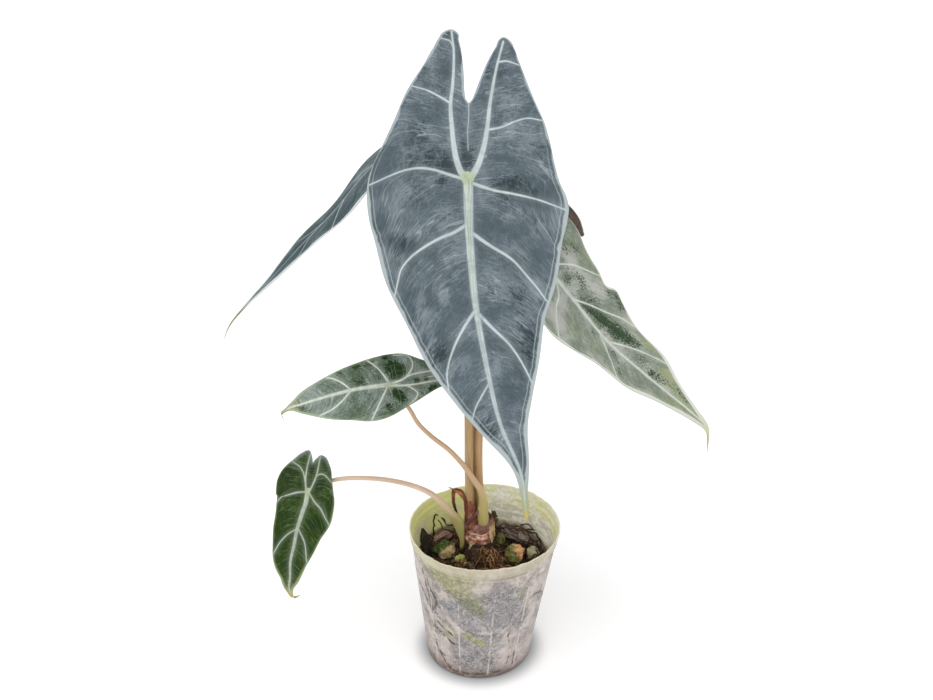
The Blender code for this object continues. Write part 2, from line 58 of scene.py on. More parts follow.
# The pot, as in the construction.
POT_HEIGHT = 121.0
BASE_RADIUS = 41.7
RIM_RADIUS = 59.2
WALL = 1.2
FLOOR = 1.5
LEAN = 4.3
RIM_TILT = 0.025
RIM_WAVE = 0.5
BAND_BOTTOM = 110.0
BAND_OUT = 0.8
BAND_STEP = 1.5
BASE_ROUND = 3.5
RIB_COUNT = 12
RIB_FIRST = 9.0
RIB_HALF_WIDTH = 1.3
RIB_HEIGHT = 0.6
RIB_BOTTOM = 6.0
RIB_TOP = 91.0
HOLE_COUNT = 5
HOLE_RADIUS = 3.5
HOLE_OUT = 24.0
SOIL_LEVEL = 84.0
SOIL_GAP = 0.45
SOIL_BUMP = 1.2
MOUND = (0.0, 7.0, 5.0, 17.0)

# How far from the middle loose matter lies on the mix.
SOIL_REACH = 47

# The radius at which marks round the pot are measured.
MARK_RADIUS = 50

# The corm, as (x, y, z, radius) up its axis.
CORM = [(1, 9, 64, 8.5), (1, 9, 72, 10.3), (0.5, 8, 84, 11.0), (0.2, 7.5, 94, 11.8), (0, 7, 98, 12.2),
        (0, 7, 101, 11.7), (0, 6.8, 104, 12.1), (0, 6.5, 108, 11.5), (0, 6.3, 111, 11.3), (0, 6, 113, 10.4),
        (0, 6, 117.5, 9.7)]

# Blades, as in the construction. A flat point is (distance along the midrib from the stem's joint, distance
# out from it, negative on the left). Veins are (half width at the start, half width at the end, points), the
# first three the main ones. Dark, pale and warm are soft round patches of (flat point, radius, strength); the
# pale ones are painted sheen, and the dark ones round the front blade's joint are painted shade.
FRONT = dict(
    spine=[(-5, 12, 514), (-8.5, -8, 463), (-9, -30, 417.5), (-7.4, -58, 371), (-0.4, -80, 325.5),
           (11.7, -97, 272), (26, -104, 235), (31.4, -102, 198)],
    across=[(1, 0, 0)] * 8, joint=2, fold=(0.04, 0.04), curl=0.0012, wave=1.6, turns=3.5,
    left=[(-96.6, 14.5), (-93, 19.7), (-83, 26), (-72, 31.4), (-56, 41), (-39, 48.6), (-23, 56.4),
          (-12, 62), (0, 66.3), (12, 67.2), (26, 65.9), (40, 62.3), (64, 57), (89, 47.6), (120, 38),
          (146, 25), (171, 13.5), (195, 5.3), (222, 2.2), (240, 1.6), (246, 0)],
    left_sinus=[(-96.6, 14.5), (-93.5, 11), (-87, 8), (-78, 5.8), (-66, 3.9), (-56, 2.9), (-51.5, 1.7),
                (-49.6, 0)],
    right=[(-94, 20.5), (-90, 25.5), (-79, 31.6), (-64, 38.6), (-49, 45.6), (-39, 50.3), (-24.5, 54.5),
           (-9.4, 57.5), (4, 61.3), (12, 65.2), (19, 66.9), (28, 66), (45, 61.8), (80, 53.6), (102, 43.3),
           (127, 35.5), (155, 24.9), (185, 12.3), (217, 3.3), (240, 1.6), (246, 0)],
    right_sinus=[(-94, 20.5), (-90, 17.3), (-82, 12.9), (-72, 8.9), (-62, 5.6), (-56, 3.6), (-51.5, 1.8),
                 (-49.6, 0)],
    veins=[
        (3.2, 0.7, [(-1, 0), (27, 0.2), (54, 0.4), (90, -0.3), (136, 0.2), (183, -0.2), (204, 0.4),
                    (238, 0)]),
        (2.2, 0.6, [(1, -1), (-4, -4.6), (-10.7, -7.2), (-20.5, -9.2), (-34, -10.8), (-49, -12),
                    (-59.5, -11.2), (-73, -11.2), (-84.6, -12.1), (-92, -13.6)]),
        (2.2, 0.6, [(1, 1), (-3.5, 4), (-9.3, 7), (-18.6, 10), (-32.6, 12.6), (-48, 13.9), (-61.6, 15.5),
                    (-72, 16.8), (-78.3, 17.8), (-87, 19.5)]),
        (1.0, 0.4, [(1, -1.5), (-2.8, -13.9), (-5.4, -21.8), (-6.8, -31), (-5.7, -41), (-2.6, -50.4),
                    (2.4, -62)]),
        (1.0, 0.4, [(3, 1.5), (8.2, 16.5), (11.2, 31.7), (14.9, 46.9), (20.4, 62)]),
        (1.1, 0.4, [(31, -1), (36.5, -10.5), (38.8, -17.2), (45, -30.7), (50.5, -39.7), (57, -46.3),
                    (64.5, -49.4), (70, -51.5)]),
        (1.1, 0.4, [(36, 1), (45.6, 12.9), (57.4, 27.6), (69.8, 35.9), (79.2, 41.6), (88, 46)]),
        (1.0, 0.4, [(88, -1), (99, -11), (110, -19), (119.3, -24), (127.3, -26.9), (135, -27.5)]),
        (1.0, 0.4, [(91, 1), (102.6, 9.1), (113.8, 17.3), (124.2, 22.2), (134, 25.4), (143, 27.5)]),
        (0.7, 0.35, [(-49, -12), (-53, -19.5), (-56.8, -28.6), (-58.3, -36)]),
        (0.7, 0.35, [(-32, 13), (-34.1, 22.4), (-38.4, 31.6), (-40.7, 39.6), (-39.6, 48.5)]),
        (0.55, 0.3, [(-77.6, 17.8), (-78.6, 23.7), (-77, 30)]),
        (0.5, 0.3, [(-84.6, -12.1), (-89, -14.8), (-90, -19)]),
        (0.6, 0.3, [(138, -1), (145.4, -7.8), (150.7, -12.5), (157, -16.5)]),
        (0.18, 0.1, [(-49, 0), (-40, 0.3), (-28, -0.4), (-22, 0)])],
    # Those round the joint are painted shade of the deep quilting there; the rest are dark blotches.
    dark=[(-12, 0, 5, 1.7), (-19, -1, 5, 0.8), (-9, -13, 5, 2.0), (-5, -9, 4, 1.8), (-12, -23, 6, 0.8),
          (-14, -36, 8, 0.4), (-28, -30, 9, 0.4), (5, 29, 7, 0.9), (3, 20, 5, 0.6), (8, 42, 7, 0.5),
          (-22, 47, 6, 0.5), (10, 21, 6, 0.7), (2, -17, 3.5, 1.4), (10, -36, 9, 0.6), (44, -45, 9, 0.6),
          (-93, -17, 6, 0.7), (-57, -20, 6, 0.6), (-80, -20, 5, 0.4), (-69, 14, 7, 0.6), (-78, 20, 6, 0.4),
          (110, -31, 7, 0.8), (115, -26, 6, 0.7), (122, -36, 6, 0.5), (106, 30, 8, 0.8), (116, 31, 6, 0.7),
          (125, 27, 6, 0.6), (165, -12, 7, 0.8), (172, -7, 5, 0.6), (84, 30, 9, 0.6), (60, -42, 6, 0.3),
          (30, 44, 10, 0.4), (142, 20, 6, 0.5), (20, -12, 12, 0.4), (75, 12, 12, 0.3), (150, -10, 6, 0.4)],
    pale=[(-73, -28, 6, 0.7), (-67, -23, 6, 0.7), (77, -38, 6, 0.9), (-50, 24, 7, 0.9), (-32, 27, 9, 0.9),
          (-61, 36, 7, 0.6), (-45, -32, 10, 0.5), (25, -50, 10, 0.5), (76, -21, 6, 1.1), (66, -12, 6, 0.5),
          (86, -32, 7, 0.8), (80, 15, 9, 0.4), (36, 47, 10, 0.4), (22, 30, 10, 0.4), (94, -40, 7, 0.5),
          (48, -14, 9, 0.4), (130, 6, 10, 0.3), (-22, -14, 4, 0.9), (60, 20, 9, 0.3)],
    warm=[])

# The left leaf's outline beyond its widest place, alike on both sides.
LEFT_FORE = [(8, 57.5), (25, 58), (50, 55), (85, 49), (115, 42), (153, 30), (190, 18), (221, 8), (249, 2.2),
             (265, 1.2), (274, 0)]
LEFT = dict(
    spine=[(88, 98, 305), (51, 85, 361), (8, 57, 421), (-18, 53, 433), (-43, 49, 429), (-81, 45, 398),
           (-108, 40, 367), (-135, 35, 340), (-157, 31, 316.5), (-176, 28, 297), (-189, 26, 281),
           (-195, 24, 266)],
    across=[(0.58, -0.79, 0.17), (0.5, -0.83, 0.2), (0.3, -0.93, 0.2), (0.15, -0.97, 0.2),
            (0.05, -0.98, 0.18), (0.06, -0.985, 0.08), (0.07, -0.985, 0.02), (0.09, -0.985, -0.03),
            (0.09, -0.985, -0.02), (0.15, -0.98, 0), (0.2, -0.97, 0), (0.25, -0.96, 0)],
    joint=2, fold=(0, 0), curl=0.0012, wave=1.5, turns=3,
    left=[(-100, 16), (-96, 21.5), (-86, 28), (-70, 35), (-50, 43), (-30, 49.5), (-10, 54.5), *LEFT_FORE],
    left_sinus=[(-100, 16), (-96, 11.5), (-86, 7.5), (-70, 4), (-52, 0)],
    right=[(-118, 13), (-114, 18.5), (-102, 26), (-82, 32.5), (-55, 39), (-30, 46), (-10, 52.5),
           *LEFT_FORE],
    right_sinus=[(-118, 13), (-114, 8.5), (-102, 5), (-82, 2.5), (-52, 0)],
    veins=[
        (1.6, 0.3, [(-1, 0), (60, 0), (130, 0.3), (200, 0), (270, 0)]),
        (1.9, 0.5, [(1, -1), (-4, -4.6), (-11, -7.5), (-22, -10), (-38, -11.5), (-55, -12), (-75, -12),
                    (-94, -14.5)]),
        (1.9, 0.5, [(1, 1), (-4, 4.6), (-11, 7.5), (-22, 10), (-38, 11), (-60, 11), (-85, 11.5),
                    (-112, 12.5)]),
        (0.9, 0.4, [(1, -1.5), (-3, -13), (-5, -26), (-3, -40), (5, -54)]),
        (0.9, 0.4, [(3, 1.5), (8, 15), (11, 30), (16, 44), (22, 55)]),
        (1.0, 0.4, [(36, -1), (42, -10), (51, -26), (62, -38), (76, -46), (84, -47)]),
        (1.0, 0.4, [(44, 1), (49, 12), (55, 26), (63, 40), (72, 50)]),
        (0.9, 0.4, [(96, -1), (108, -10), (122, -19), (136, -26), (148, -28)]),
        (0.9, 0.4, [(84, 1), (89, 8), (95, 18), (100, 30), (103, 40)]),
        (0.9, 0.4, [(131, 1), (136, 8), (142, 18), (148, 29)]),
        (0.7, 0.3, [(155, -0.5), (166, -4), (179, -12)]),
        (0.7, 0.3, [(165, 0.5), (170, 3), (178, 10.5), (184, 16)]),
        (0.7, 0.35, [(-38, -11.5), (-44, -22), (-49, -33), (-49, -42)]),
        (0.7, 0.35, [(-40, 11), (-46, 20), (-50, 30), (-50, 38)])],
    dark=[(-10, 0, 7, 1.0), (130, 12, 16, 0.6), (170, 6, 14, 0.7), (60, -30, 14, 0.5)],
    pale=[(80, 36, 16, 0.9), (50, 44, 12, 1.0), (20, -30, 18, 0.5), (110, -12, 18, 0.6), (30, 20, 20, 0.5)],
    warm=[])

# The gap between the right leaf's back lobes, alike on both sides.
RIGHT_SINUS = [(-76, 16), (-73, 11.5), (-64, 7.5), (-54, 4), (-42, 0)]
RIGHT = dict(
    spine=[(4, 30, 412), (22, 19, 380), (46, 8, 340), (68, 2, 313), (95, -4, 282), (117, -10, 263),
           (135, -16, 250), (156, -22, 233), (166, -26, 224), (169, -26, 202)],
    across=[(0.25, 0.96, 0)] * 10, joint=2, fold=(0, 0.25), curl=0.0008, wave=1.2, turns=3,
    left=[(-76, 16), (-73, 21), (-64, 29), (-50, 39), (-32, 48), (-14, 55), (4, 59.5), (22, 59.5),
          (34, 57.3), (46, 50.8), (66, 42), (83, 37), (99, 32.2), (122, 24), (143, 15.2), (160, 8),
          (176, 3), (193, 0)],
    left_sinus=RIGHT_SINUS,
    right=[(-76, 16), (-73, 22), (-64, 32), (-50, 44), (-32, 54), (-10, 60), (10, 60.8), (25, 55.3),
           (39, 49.4), (51, 43.2), (59, 49.5), (71, 46.2), (92, 37.8), (116, 30.5), (141, 16.2),
           (154, 10.1), (168, 5), (178, 3), (193, 0)],
    right_sinus=RIGHT_SINUS,
    veins=[
        (2.6, 0.8, [(-1, 0), (35, 0.2), (64.7, -0.8), (107, 0.1), (130, -0.4), (162, 1), (190, 0)]),
        (1.3, 0.4, [(1, -1), (-5, -5), (-16, -9), (-34, -12.5), (-52, -13.5), (-70, -16)]),
        (1.3, 0.4, [(1, 1), (-5, 5), (-16, 9), (-34, 12.5), (-52, 13.5), (-70, 16)]),
        (0.75, 0.35, [(1, 1), (4, 8), (8.8, 14.3), (18.2, 27.3), (29.8, 37.1), (41.7, 46)]),
        (0.75, 0.35, [(1, -1), (1, -14), (4, -28), (10, -42), (20, -55)]),
        (0.8, 0.35, [(34, 1), (46, 10.9), (63, 22.5), (76.2, 31.9), (91.2, 38.4)]),
        (0.75, 0.35, [(14, -1), (19, -8), (22.5, -17), (23.5, -27), (28, -40), (37, -53)]),
        (0.75, 0.35, [(76, 1), (88.9, 10.5), (102.7, 18.6), (114, 22.8), (126, 25)]),
        (0.7, 0.35, [(65, -1), (70, -6), (77, -14), (83, -21), (90, -30), (94, -33)]),
        (0.5, 0.3, [(-30, -12), (-36, -24), (-38, -38)]),
        (0.5, 0.3, [(-30, 12), (-36, 24), (-40, 40)])],
    dark=[(20, 20, 9, 0.25), (-4, 34, 10, 0.2), (50, 20, 8, 0.25), (40, -14, 10, 0.2), (105, 8, 10, 0.25),
          (90, -14, 10, 0.2), (42, 7, 5, 0.9), (50, 9, 6, 0.9), (60, 11, 6, 0.9), (69, 13, 7, 0.9),
          (79, 15, 7, 0.9), (88, 18, 6, 0.8), (96, 21, 4, 0.6), (70, 41, 5, 0.8), (62, 45, 5, 0.7),
          (52, 42, 5, 0.5), (56, 36, 4, 0.4), (30, 22, 5, 0.5), (80, -9, 4, 0.5), (12, 42, 6, 0.5),
          (6, 30, 4, 0.4), (116, 4, 4, 0.7), (123, 6, 4, 0.7), (130, 7, 4, 0.4), (140, 9, 3, 0.4),
          (147, 8, 4, 0.7), (90, -24, 4, 0.4), (34, 18, 3, 0.5), (60, -10, 4, 0.4), (22, 8, 4, 0.5)],
    pale=[(9, 32, 10, 0.9), (22, 26, 10, 0.9), (48, 28, 10, 1.0), (34, 20, 8, 0.6), (27, -42, 10, 1.3),
          (125, 2, 20, 0.4), (40, -14, 10, 0.5), (100, 4, 12, 0.4), (60, -16, 10, 0.5), (24, -18, 10, 0.6),
          (112, 12, 8, 0.3)],
    warm=[(22, 50, 8, 0.5), (4, 44, 8, 0.4), (46, 46, 7, 0.5), (44, -34, 8, 0.6), (66, -22, 8, 0.6),
          (30, 44, 6, 0.4), (104, 30, 9, 0.9), (128, 16, 12, 1.0), (115, -30, 12, 0.5), (150, 5, 12, 0.9),
          (136, -12, 12, 0.6), (88, -30, 9, 0.5), (84, 30, 7, 0.5)])
UPPER_SMALL = dict(
    spine=[(-16, -12, 264), (-36, -21, 264), (-65, -32, 263), (-78, -37, 264), (-92, -42, 264),
           (-103, -46, 263), (-116, -50, 261), (-126, -53, 259), (-136, -56, 256.5), (-140, -57, 253),
           (-139, -57, 249)],
    across=[(0.33, -0.567, -0.70)] * 11, joint=2, fold=(0.04, 0.04), curl=0.0012, wave=0.8, turns=2.5,
    left=[(-45, 5), (-43, 7.5), (-37, 10), (-29.6, 12.8), (-16, 20.9), (-2, 22.6), (12, 20.8), (25.5, 18),
          (37, 15.4), (48, 12.7), (65, 7.2), (75, 1.6), (81, 0.8), (86, 0)],
    left_sinus=[(-45, 4.2), (-43, 1.8), (-38, 0.4), (-30, 0.1), (-24, 0)],
    right=[(-45, 6), (-43, 7.8), (-35, 9.5), (-18, 15), (-9, 18.1), (8, 24.3), (21, 24.6), (35, 21.1),
           (53, 14.6), (63, 9.1), (75, 1.8), (81, 0.8), (86, 0)],
    right_sinus=[(-45, 4.6), (-43, 2), (-38, 0.4), (-30, 0.1), (-24, 0)],
    veins=[
        (1.6, 0.5, [(-1, 0), (30, 0), (60, 0.2), (84, 0)]),
        (0.75, 0.3, [(1, -0.5), (-8.8, -1.9), (-16.5, -4.2), (-23.6, -4.4), (-30.8, -4), (-42, -5)]),
        (0.75, 0.3, [(1, 0.5), (-12.7, 2.6), (-21.3, 3.4), (-31.8, 3.8), (-42, 5.5)]),
        (0.6, 0.35, [(0, -1), (6.7, -12.8), (12, -18.3)]),
        (0.6, 0.35, [(2, 1), (9.4, 11.9), (16.9, 22)]),
        (0.5, 0.3, [(29, -0.5), (34, -7), (39.5, -11.5), (45, -13.5)]),
        (0.5, 0.3, [(29, 0.5), (37.9, 6.6), (45.6, 10.2), (53.6, 11.8)]),
        (0.5, 0.25, [(-12, -3), (-17, -6.5), (-20.3, -11), (-20.3, -15.5), (-17.3, -19.5), (-12, -20.5)]),
        (0.45, 0.25, [(-12.7, 3), (-16, 6.5), (-18.3, 10), (-16.5, 13), (-12.5, 15.6)])],
    dark=[(-7, -9, 5.5, 2.0), (-3, -11, 4, 1.8), (-6, 10, 4, 1.5), (-3, 6, 3, 1.2), (4, 16, 3, 0.9),
          (12, -19, 5, 1.0), (22, -17, 4, 0.9), (0, -22, 3, 1.3), (34, -15, 4, 0.7), (-20, 1, 2, 1.5),
          (-27, 1, 2, 1.5), (-30, 9, 3, 1.2), (66, 3, 4, 0.8), (22, -4, 6, 0.7), (44, -8, 4, 0.4),
          (-40, 3, 6, 1.0), (32, 9, 3, 0.4)],
    pale=[(18, 9, 6, 0.5), (30, 14, 7, 0.4), (-14, 12, 5, 1.2), (54, -5, 8, 0.9), (-14, -18, 3.5, 1.3),
          (-24, -5, 5, 1.3), (-34, 0, 6, 1.2), (-26, 6, 5, 1.0), (6, 8, 4, 0.5)],
    warm=[(80, 0, 12, 1.6)])
LOWER_SMALL = dict(
    spine=[(-125, 2, 190), (-127, -5, 183), (-131, -20, 164), (-132, -24, 158), (-135, -28, 150),
           (-139, -32, 138), (-142, -35, 125), (-145, -38, 113), (-146, -40, 99), (-147, -41, 88),
           (-144, -41, 80.5), (-139.5, -40, 81.5)],
    across=[(0.95, -0.155, -0.163)] * 12, joint=2, fold=(0.04, 0.04), curl=0.0012, wave=0.8, turns=2.5,
    left=[(-31.4, 5.3), (-29.5, 8.5), (-22.6, 15.1), (-14.4, 21.5), (-7, 24.2), (3, 23.9), (23.6, 19.4),
          (37, 17.7), (52.6, 14.9), (65, 11), (76, 5.9), (85.5, 1.8), (91, 0.9), (95.5, 0)],
    left_sinus=[(-31.4, 5.3), (-29, 2.8), (-26, 1.2), (-22.5, 0)],
    right=[(-29.6, 5.5), (-28, 9), (-23.7, 12.6), (-10.3, 17.5), (8.7, 22.3), (14, 23.2), (32, 19.6),
           (45, 16.2), (64, 10.9), (77, 5.3), (85.5, 1.8), (91, 0.9), (95.5, 0)],
    right_sinus=[(-29.6, 5.5), (-27.5, 3), (-25.5, 1.2), (-22.5, 0)],
    veins=[
        (1.7, 0.5, [(-1, 0), (30, 0), (60, 0.1), (93, 0)]),
        (0.6, 0.25, [(1, -0.8), (-8.6, -3), (-16.6, -3.6), (-27.4, -3.4)]),
        (0.6, 0.25, [(1, 0.8), (-2.2, 1.9), (-13.1, 4.6), (-25.5, 4.6)]),
        (0.45, 0.22, [(0, -0.8), (2.2, -10.4), (5.6, -16.6), (14.9, -20.8)]),
        (0.45, 0.22, [(0, 0.8), (6.5, 6.5), (9.5, 12.6), (13.6, 17.7), (17.4, 21.2)]),
        (0.4, 0.22, [(30, -0.5), (36.1, -6.6), (42.5, -10.4), (52, -13.2)]),
        (0.4, 0.22, [(29, 0.5), (37.8, 7), (44.7, 9.8), (53.1, 12.4)]),
        (0.35, 0.2, [(-7, -3), (-13.5, -5.5), (-17.4, -8.8), (-20.5, -15)]),
        (0.35, 0.2, [(-13, 4.8), (-15, 7.5), (-14.8, 10.2), (-11, 15.5)])],
    dark=[(-6, 8, 5, 1.4), (4, -10, 8, 1.0), (20, 12, 7, 1.2), (22, -12, 7, 1.0), (-16, 0, 6, 1.0),
          (40, 8, 6, 1.0), (38, -8, 6, 1.0), (60, 0, 9, 1.0), (-10, -16, 6, 1.2), (6, 18, 5, 1.0),
          (46, -14, 5, 1.0)],
    pale=[(16, -4, 6, 0.9), (18, 5, 6, 0.7), (-4, -16, 6, 0.7), (32, 2, 6, 0.5), (44, -3, 6, 0.5),
          (-2, 12, 4, 0.5)],
    warm=[(93, 0, 10, 1.2), (78, 0, 8, 0.4)])

# Stems, as (x, y, z, half width, half depth), from the foot up.
STEM_FRONT = [(-5.8, 3, 118.5, 4.2, 4.0), (-7.2, 0, 140, 3.5, 3.5), (-8, -2.4, 165, 3.3, 3.3),
              (-8.3, -3, 207, 3.2, 3.2), (-9, -1, 280, 2.8, 2.8), (-9.5, -2, 345, 2.5, 2.5),
              (-9.4, -10, 390, 2.3, 2.3), (-9.2, -20, 409, 2.2, 2.2)]
STEM_LEFT = [(-3.5, 12, 118.6, 3.4, 3.4), (-3.8, 8.5, 140, 3.0, 3.0), (-3.4, 5.5, 170, 2.9, 2.9),
             (-3.2, 4.8, 207, 2.8, 2.8), (-2, 14, 300, 2.5, 2.5), (1, 31, 368, 2.3, 2.3),
             (5, 46, 404, 2.2, 2.2)]
STEM_RIGHT = [(4, 8.5, 118.7, 3.4, 3.4), (2, 4.5, 135, 3.0, 3.0), (0.3, 0.8, 158, 2.8, 2.8),
              (-0.1, -2, 207, 2.7, 2.7), (3, -1, 250, 2.6, 2.6), (12, 1.5, 292, 2.4, 2.4),
              (28, 6, 322, 2.2, 2.2)]
STEM_UPPER_SMALL = [(3, -2.6, 126, 4.2, 3.6), (2.7, -4.2, 135, 4.4, 3.4), (3, -7, 148, 3.2, 2.8),
                    (0.8, -9.5, 158.5, 2.6, 2.5), (-4.3, -11.5, 169, 2.3, 2.3),
                    (-11.1, -13.5, 182, 2.0, 2.0), (-22.4, -16, 198, 1.8, 1.8), (-37.1, -20, 214, 1.7, 1.7),
                    (-45.7, -23, 226, 1.6, 1.6), (-51.2, -26, 239, 1.5, 1.5), (-58.1, -28, 251, 1.4, 1.4)]
STEM_LOWER_SMALL = [(-11.3, 3, 82.5, 1.2, 1.2), (-12.8, 1.8, 89, 1.3, 1.3), (-13.9, -1, 98, 1.5, 1.4),
                    (-13.5, -3.2, 106, 1.7, 1.5), (-14.8, -5, 117, 3.2, 1.7),
                    (-16.9, -6.5, 127.5, 4.5, 2.0), (-21.5, -8.5, 136, 3.8, 2.1),
                    (-29.7, -10, 148, 2.5, 2.0), (-37.3, -11, 156.5, 2.2, 2.0), (-45.7, -12, 162, 2.0, 1.9),
                    (-62.4, -13, 168.5, 1.9, 1.8), (-89, -12, 171.3, 1.7, 1.7),
                    (-112, -9.5, 167.8, 1.6, 1.6), (-124, -10.5, 163.5, 1.4, 1.4)]
STRAP = [(-9.6, -2, 122, 1.3, 0.5), (-10.4, -3.2, 136, 1.3, 0.5), (-11.4, -4.2, 147, 1.4, 0.5),
         (-15.3, -4, 154.5, 1.8, 0.6), (-19, -3.4, 154.5, 1.8, 0.6), (-20.3, -2.5, 147.5, 1.5, 0.5),
         (-19.2, -2, 138, 1.3, 0.5), (-17.2, -1.5, 131, 0.8, 0.4)]
SCRAP = [(-41, 10, 82, 1.5, 0.6), (-42.5, 12.5, 91, 4.0, 0.6), (-44, 14.5, 98, 3.6, 0.6),
         (-45.6, 16.5, 105, 1.0, 0.5)]

# Lumps, as (centre, half sizes, turn about Z in degrees, roughness, seed).
LUMPS = {
    "bark_right": ((29, 26, 91.5), (17, 6.6, 7.5), -36, 0.16, 3),
    "bark_left": ((-29.5, 27.3, 88.7), (11.5, 5, 6.1), 43, 0.18, 8),
    "stone_right": ((28.9, 0.4, 92), (8.4, 7.8, 8.8), 20, 0.12, 5),
    "stone_left": ((-27, 7, 91.6), (8.6, 7.6, 8.4), -15, 0.14, 11),
    "stone_small": ((42.8, 5.2, 89.5), (5.4, 5.0, 6.0), 0, 0.12, 21),
    "moss_ball": ((17.8, 19, 92.3), (4.5, 4.3, 7.0), 0, 0.08, 2),
    "moss_clump": ((9.5, 25, 95.8), (3.8, 3.8, 12.4), 10, 0.12, 14),
    "chip_green": ((-15.5, -5, 91), (5.0, 2.9, 3.4), 25, 0.12, 31),
    "chip_pale": ((-10.5, -11.5, 89.6), (2.3, 2.1, 2.6), 0, 0.12, 37),
}


def rgb(*display):
    """A colour from display values of 0 to 255."""
    return tuple(c / 255 / 12.92 if c <= 10 else ((c / 255 + 0.055) / 1.055)**2.4 for c in display)


def unit(vectors):
    """Vectors of length one."""
    return vectors / np.linalg.norm(vectors, axis=-1, keepdims=True)


def smooth(keys, at):
    """Values on the smooth curve through keys, whose first column is the place along it."""
    keys = np.asarray(keys, float)
    place, value = keys[:, 0], keys[:, 1:]
    slope = np.gradient(value, place, axis=0)
    at = np.asarray(at, float)
    i = np.clip(np.searchsorted(place, at) - 1, 0, len(place) - 2)
    gap = (place[i + 1] - place[i])[..., None]
    r = (at - place[i])[..., None] / gap
    return ((2 * r**3 - 3 * r**2 + 1) * value[i] + (r**3 - 2 * r**2 + r) * gap * slope[i]
            + (3 * r**2 - 2 * r**3) * value[i + 1] + (r**3 - r**2) * gap * slope[i + 1])


def measured(points, start=0):
    """The points with the distance from point number start in front of each."""
    points = np.array(points, float)
    steps = np.linalg.norm(np.diff(points[:, :3], axis=0), axis=1)
    along = np.concatenate([[0], np.cumsum(steps)])
    return np.column_stack([along - along[start], points])


def steps_between(keys, step):
    """Even places along measured keys, about step apart."""
    return np.linspace(keys[0, 0], keys[-1, 0], max(2, int(round((keys[-1, 0] - keys[0, 0]) / step)) + 1))


class Value:
    """A number that comes out of a node; sums of it add the nodes that work them out."""

    def __init__(self, nodes, socket):
        self.nodes = nodes
        self.socket = socket

    def __add__(self, other):
        return self.nodes.math("ADD", self, other)

    def __radd__(self, other):
        return self.nodes.math("ADD", other, self)

    def __sub__(self, other):
        return self.nodes.math("SUBTRACT", self, other)

    def __mul__(self, other):
        return self.nodes.math("MULTIPLY", self, other)

    def __abs__(self):
        return self.nodes.math("ABSOLUTE", self)


class Nodes:
    """The nodes of one material, added and linked by short calls."""

    def __init__(self, name):
        self.material = bpy.data.materials.new(name)
        self.material.use_nodes = True
        self.tree = self.material.node_tree
        self.shader = self.tree.nodes["Principled BSDF"]
        self.colour = None

    def put(self, socket, value):
        """Link something to a socket, or set its value."""
        if isinstance(value, Value):
            value = value.socket
        if isinstance(value, bpy.types.NodeSocket):
            self.tree.links.new(value, socket)
        else:
            socket.default_value = (*value, 1.0) if socket.type == "RGBA" else value

    def add(self, kind, inputs, **settings):
        """A node; its inputs are keyed by name or number."""
        node = self.tree.nodes.new("ShaderNode" + kind)
        for key, value in settings.items():
            setattr(node, key, value)
        for key, value in inputs.items():
            self.put(node.inputs[key], value)
        return node

    def number(self, kind, inputs, **settings):
        """The first output of a new node, as a number."""
        return Value(self, self.add(kind, inputs, **settings).outputs[0])

    def shade(self, inputs):
        """Fill inputs of the shader, keyed by name."""
        for name, value in inputs.items():
            self.put(self.shader.inputs[name], value)

    def math(self, operation, *values):
        """The result of one sum."""
        return self.number("Math", dict(enumerate(values)), operation=operation)

    def stir(self, value, cloud, amount):
        """A number moved up and down by noise round 0.5."""
        return value + (cloud - 0.5) * amount

    def mix(self, share, first, second):
        """A colour between two others."""
        return self.add("Mix", {0: share, 6: first, 7: second}, data_type="RGBA").outputs[2]

    def coat(self, share, paint):
        """Lay a colour over the colour so far."""
        self.colour = self.mix(share, self.colour, paint)

    def wash(self, paint, value, *step):
        """Lay a colour over the colour so far, where a value makes the soft step."""
        self.coat(self.rise(value, *step), paint)

    def rise(self, value, low, high, start=0.0, end=1.0):
        """A soft step from start to end while the value goes from low to high."""
        inputs = {0: value, 1: low, 2: high, 3: start, 4: end}
        return self.number("MapRange", inputs, interpolation_type="SMOOTHSTEP")

    def field(self, name):
        """The three numbers of one of the mesh's own fields."""
        return self.split(self.add("Attribute", {}, attribute_name=name).outputs["Vector"])

    def split(self, vector):
        """The three parts of a vector."""
        return [Value(self, part) for part in self.add("SeparateXYZ", {0: vector}).outputs]

    def join(self, x, y, z=0.0):
        """A vector from its parts."""
        return self.add("CombineXYZ", {0: x, 1: y, 2: z}).outputs[0]

    def place(self):
        """The place on the object, in metres."""
        return self.add("TexCoord", {}).outputs["Object"]

    def noise(self, vector, scale, detail=4.0, rough=0.5, twist=0.0):
        """Cloudy noise around 0.5."""
        inputs = {"Vector": vector, "Scale": scale, "Detail": detail, "Roughness": rough, "Distortion": twist}
        return self.number("TexNoise", inputs)

    def cells(self, vector, scale, feature="F1"):
        """Distances in a pattern of cells."""
        return self.number("TexVoronoi", {"Vector": vector, "Scale": scale}, feature=feature)

    def done(self, roughness, height, size, gloss=0.5, soft=0.0, reach=3.0):
        """Finish the material in the colour so far.

        Size is the bump's depth in millimetres, gloss the specular level, soft the share of the light that
        goes in and reach how many millimetres deep it goes.
        """
        bump = self.add("Bump", {"Height": height, "Distance": size * MM})
        self.shade({"Base Color": self.colour, "Roughness": roughness, "Normal": bump.outputs[0],
                    "Specular IOR Level": gloss, "Subsurface Weight": soft,
                    "Subsurface Radius": (1.0, 1.0, 0.9), "Subsurface Scale": reach * MM})
        return self.material


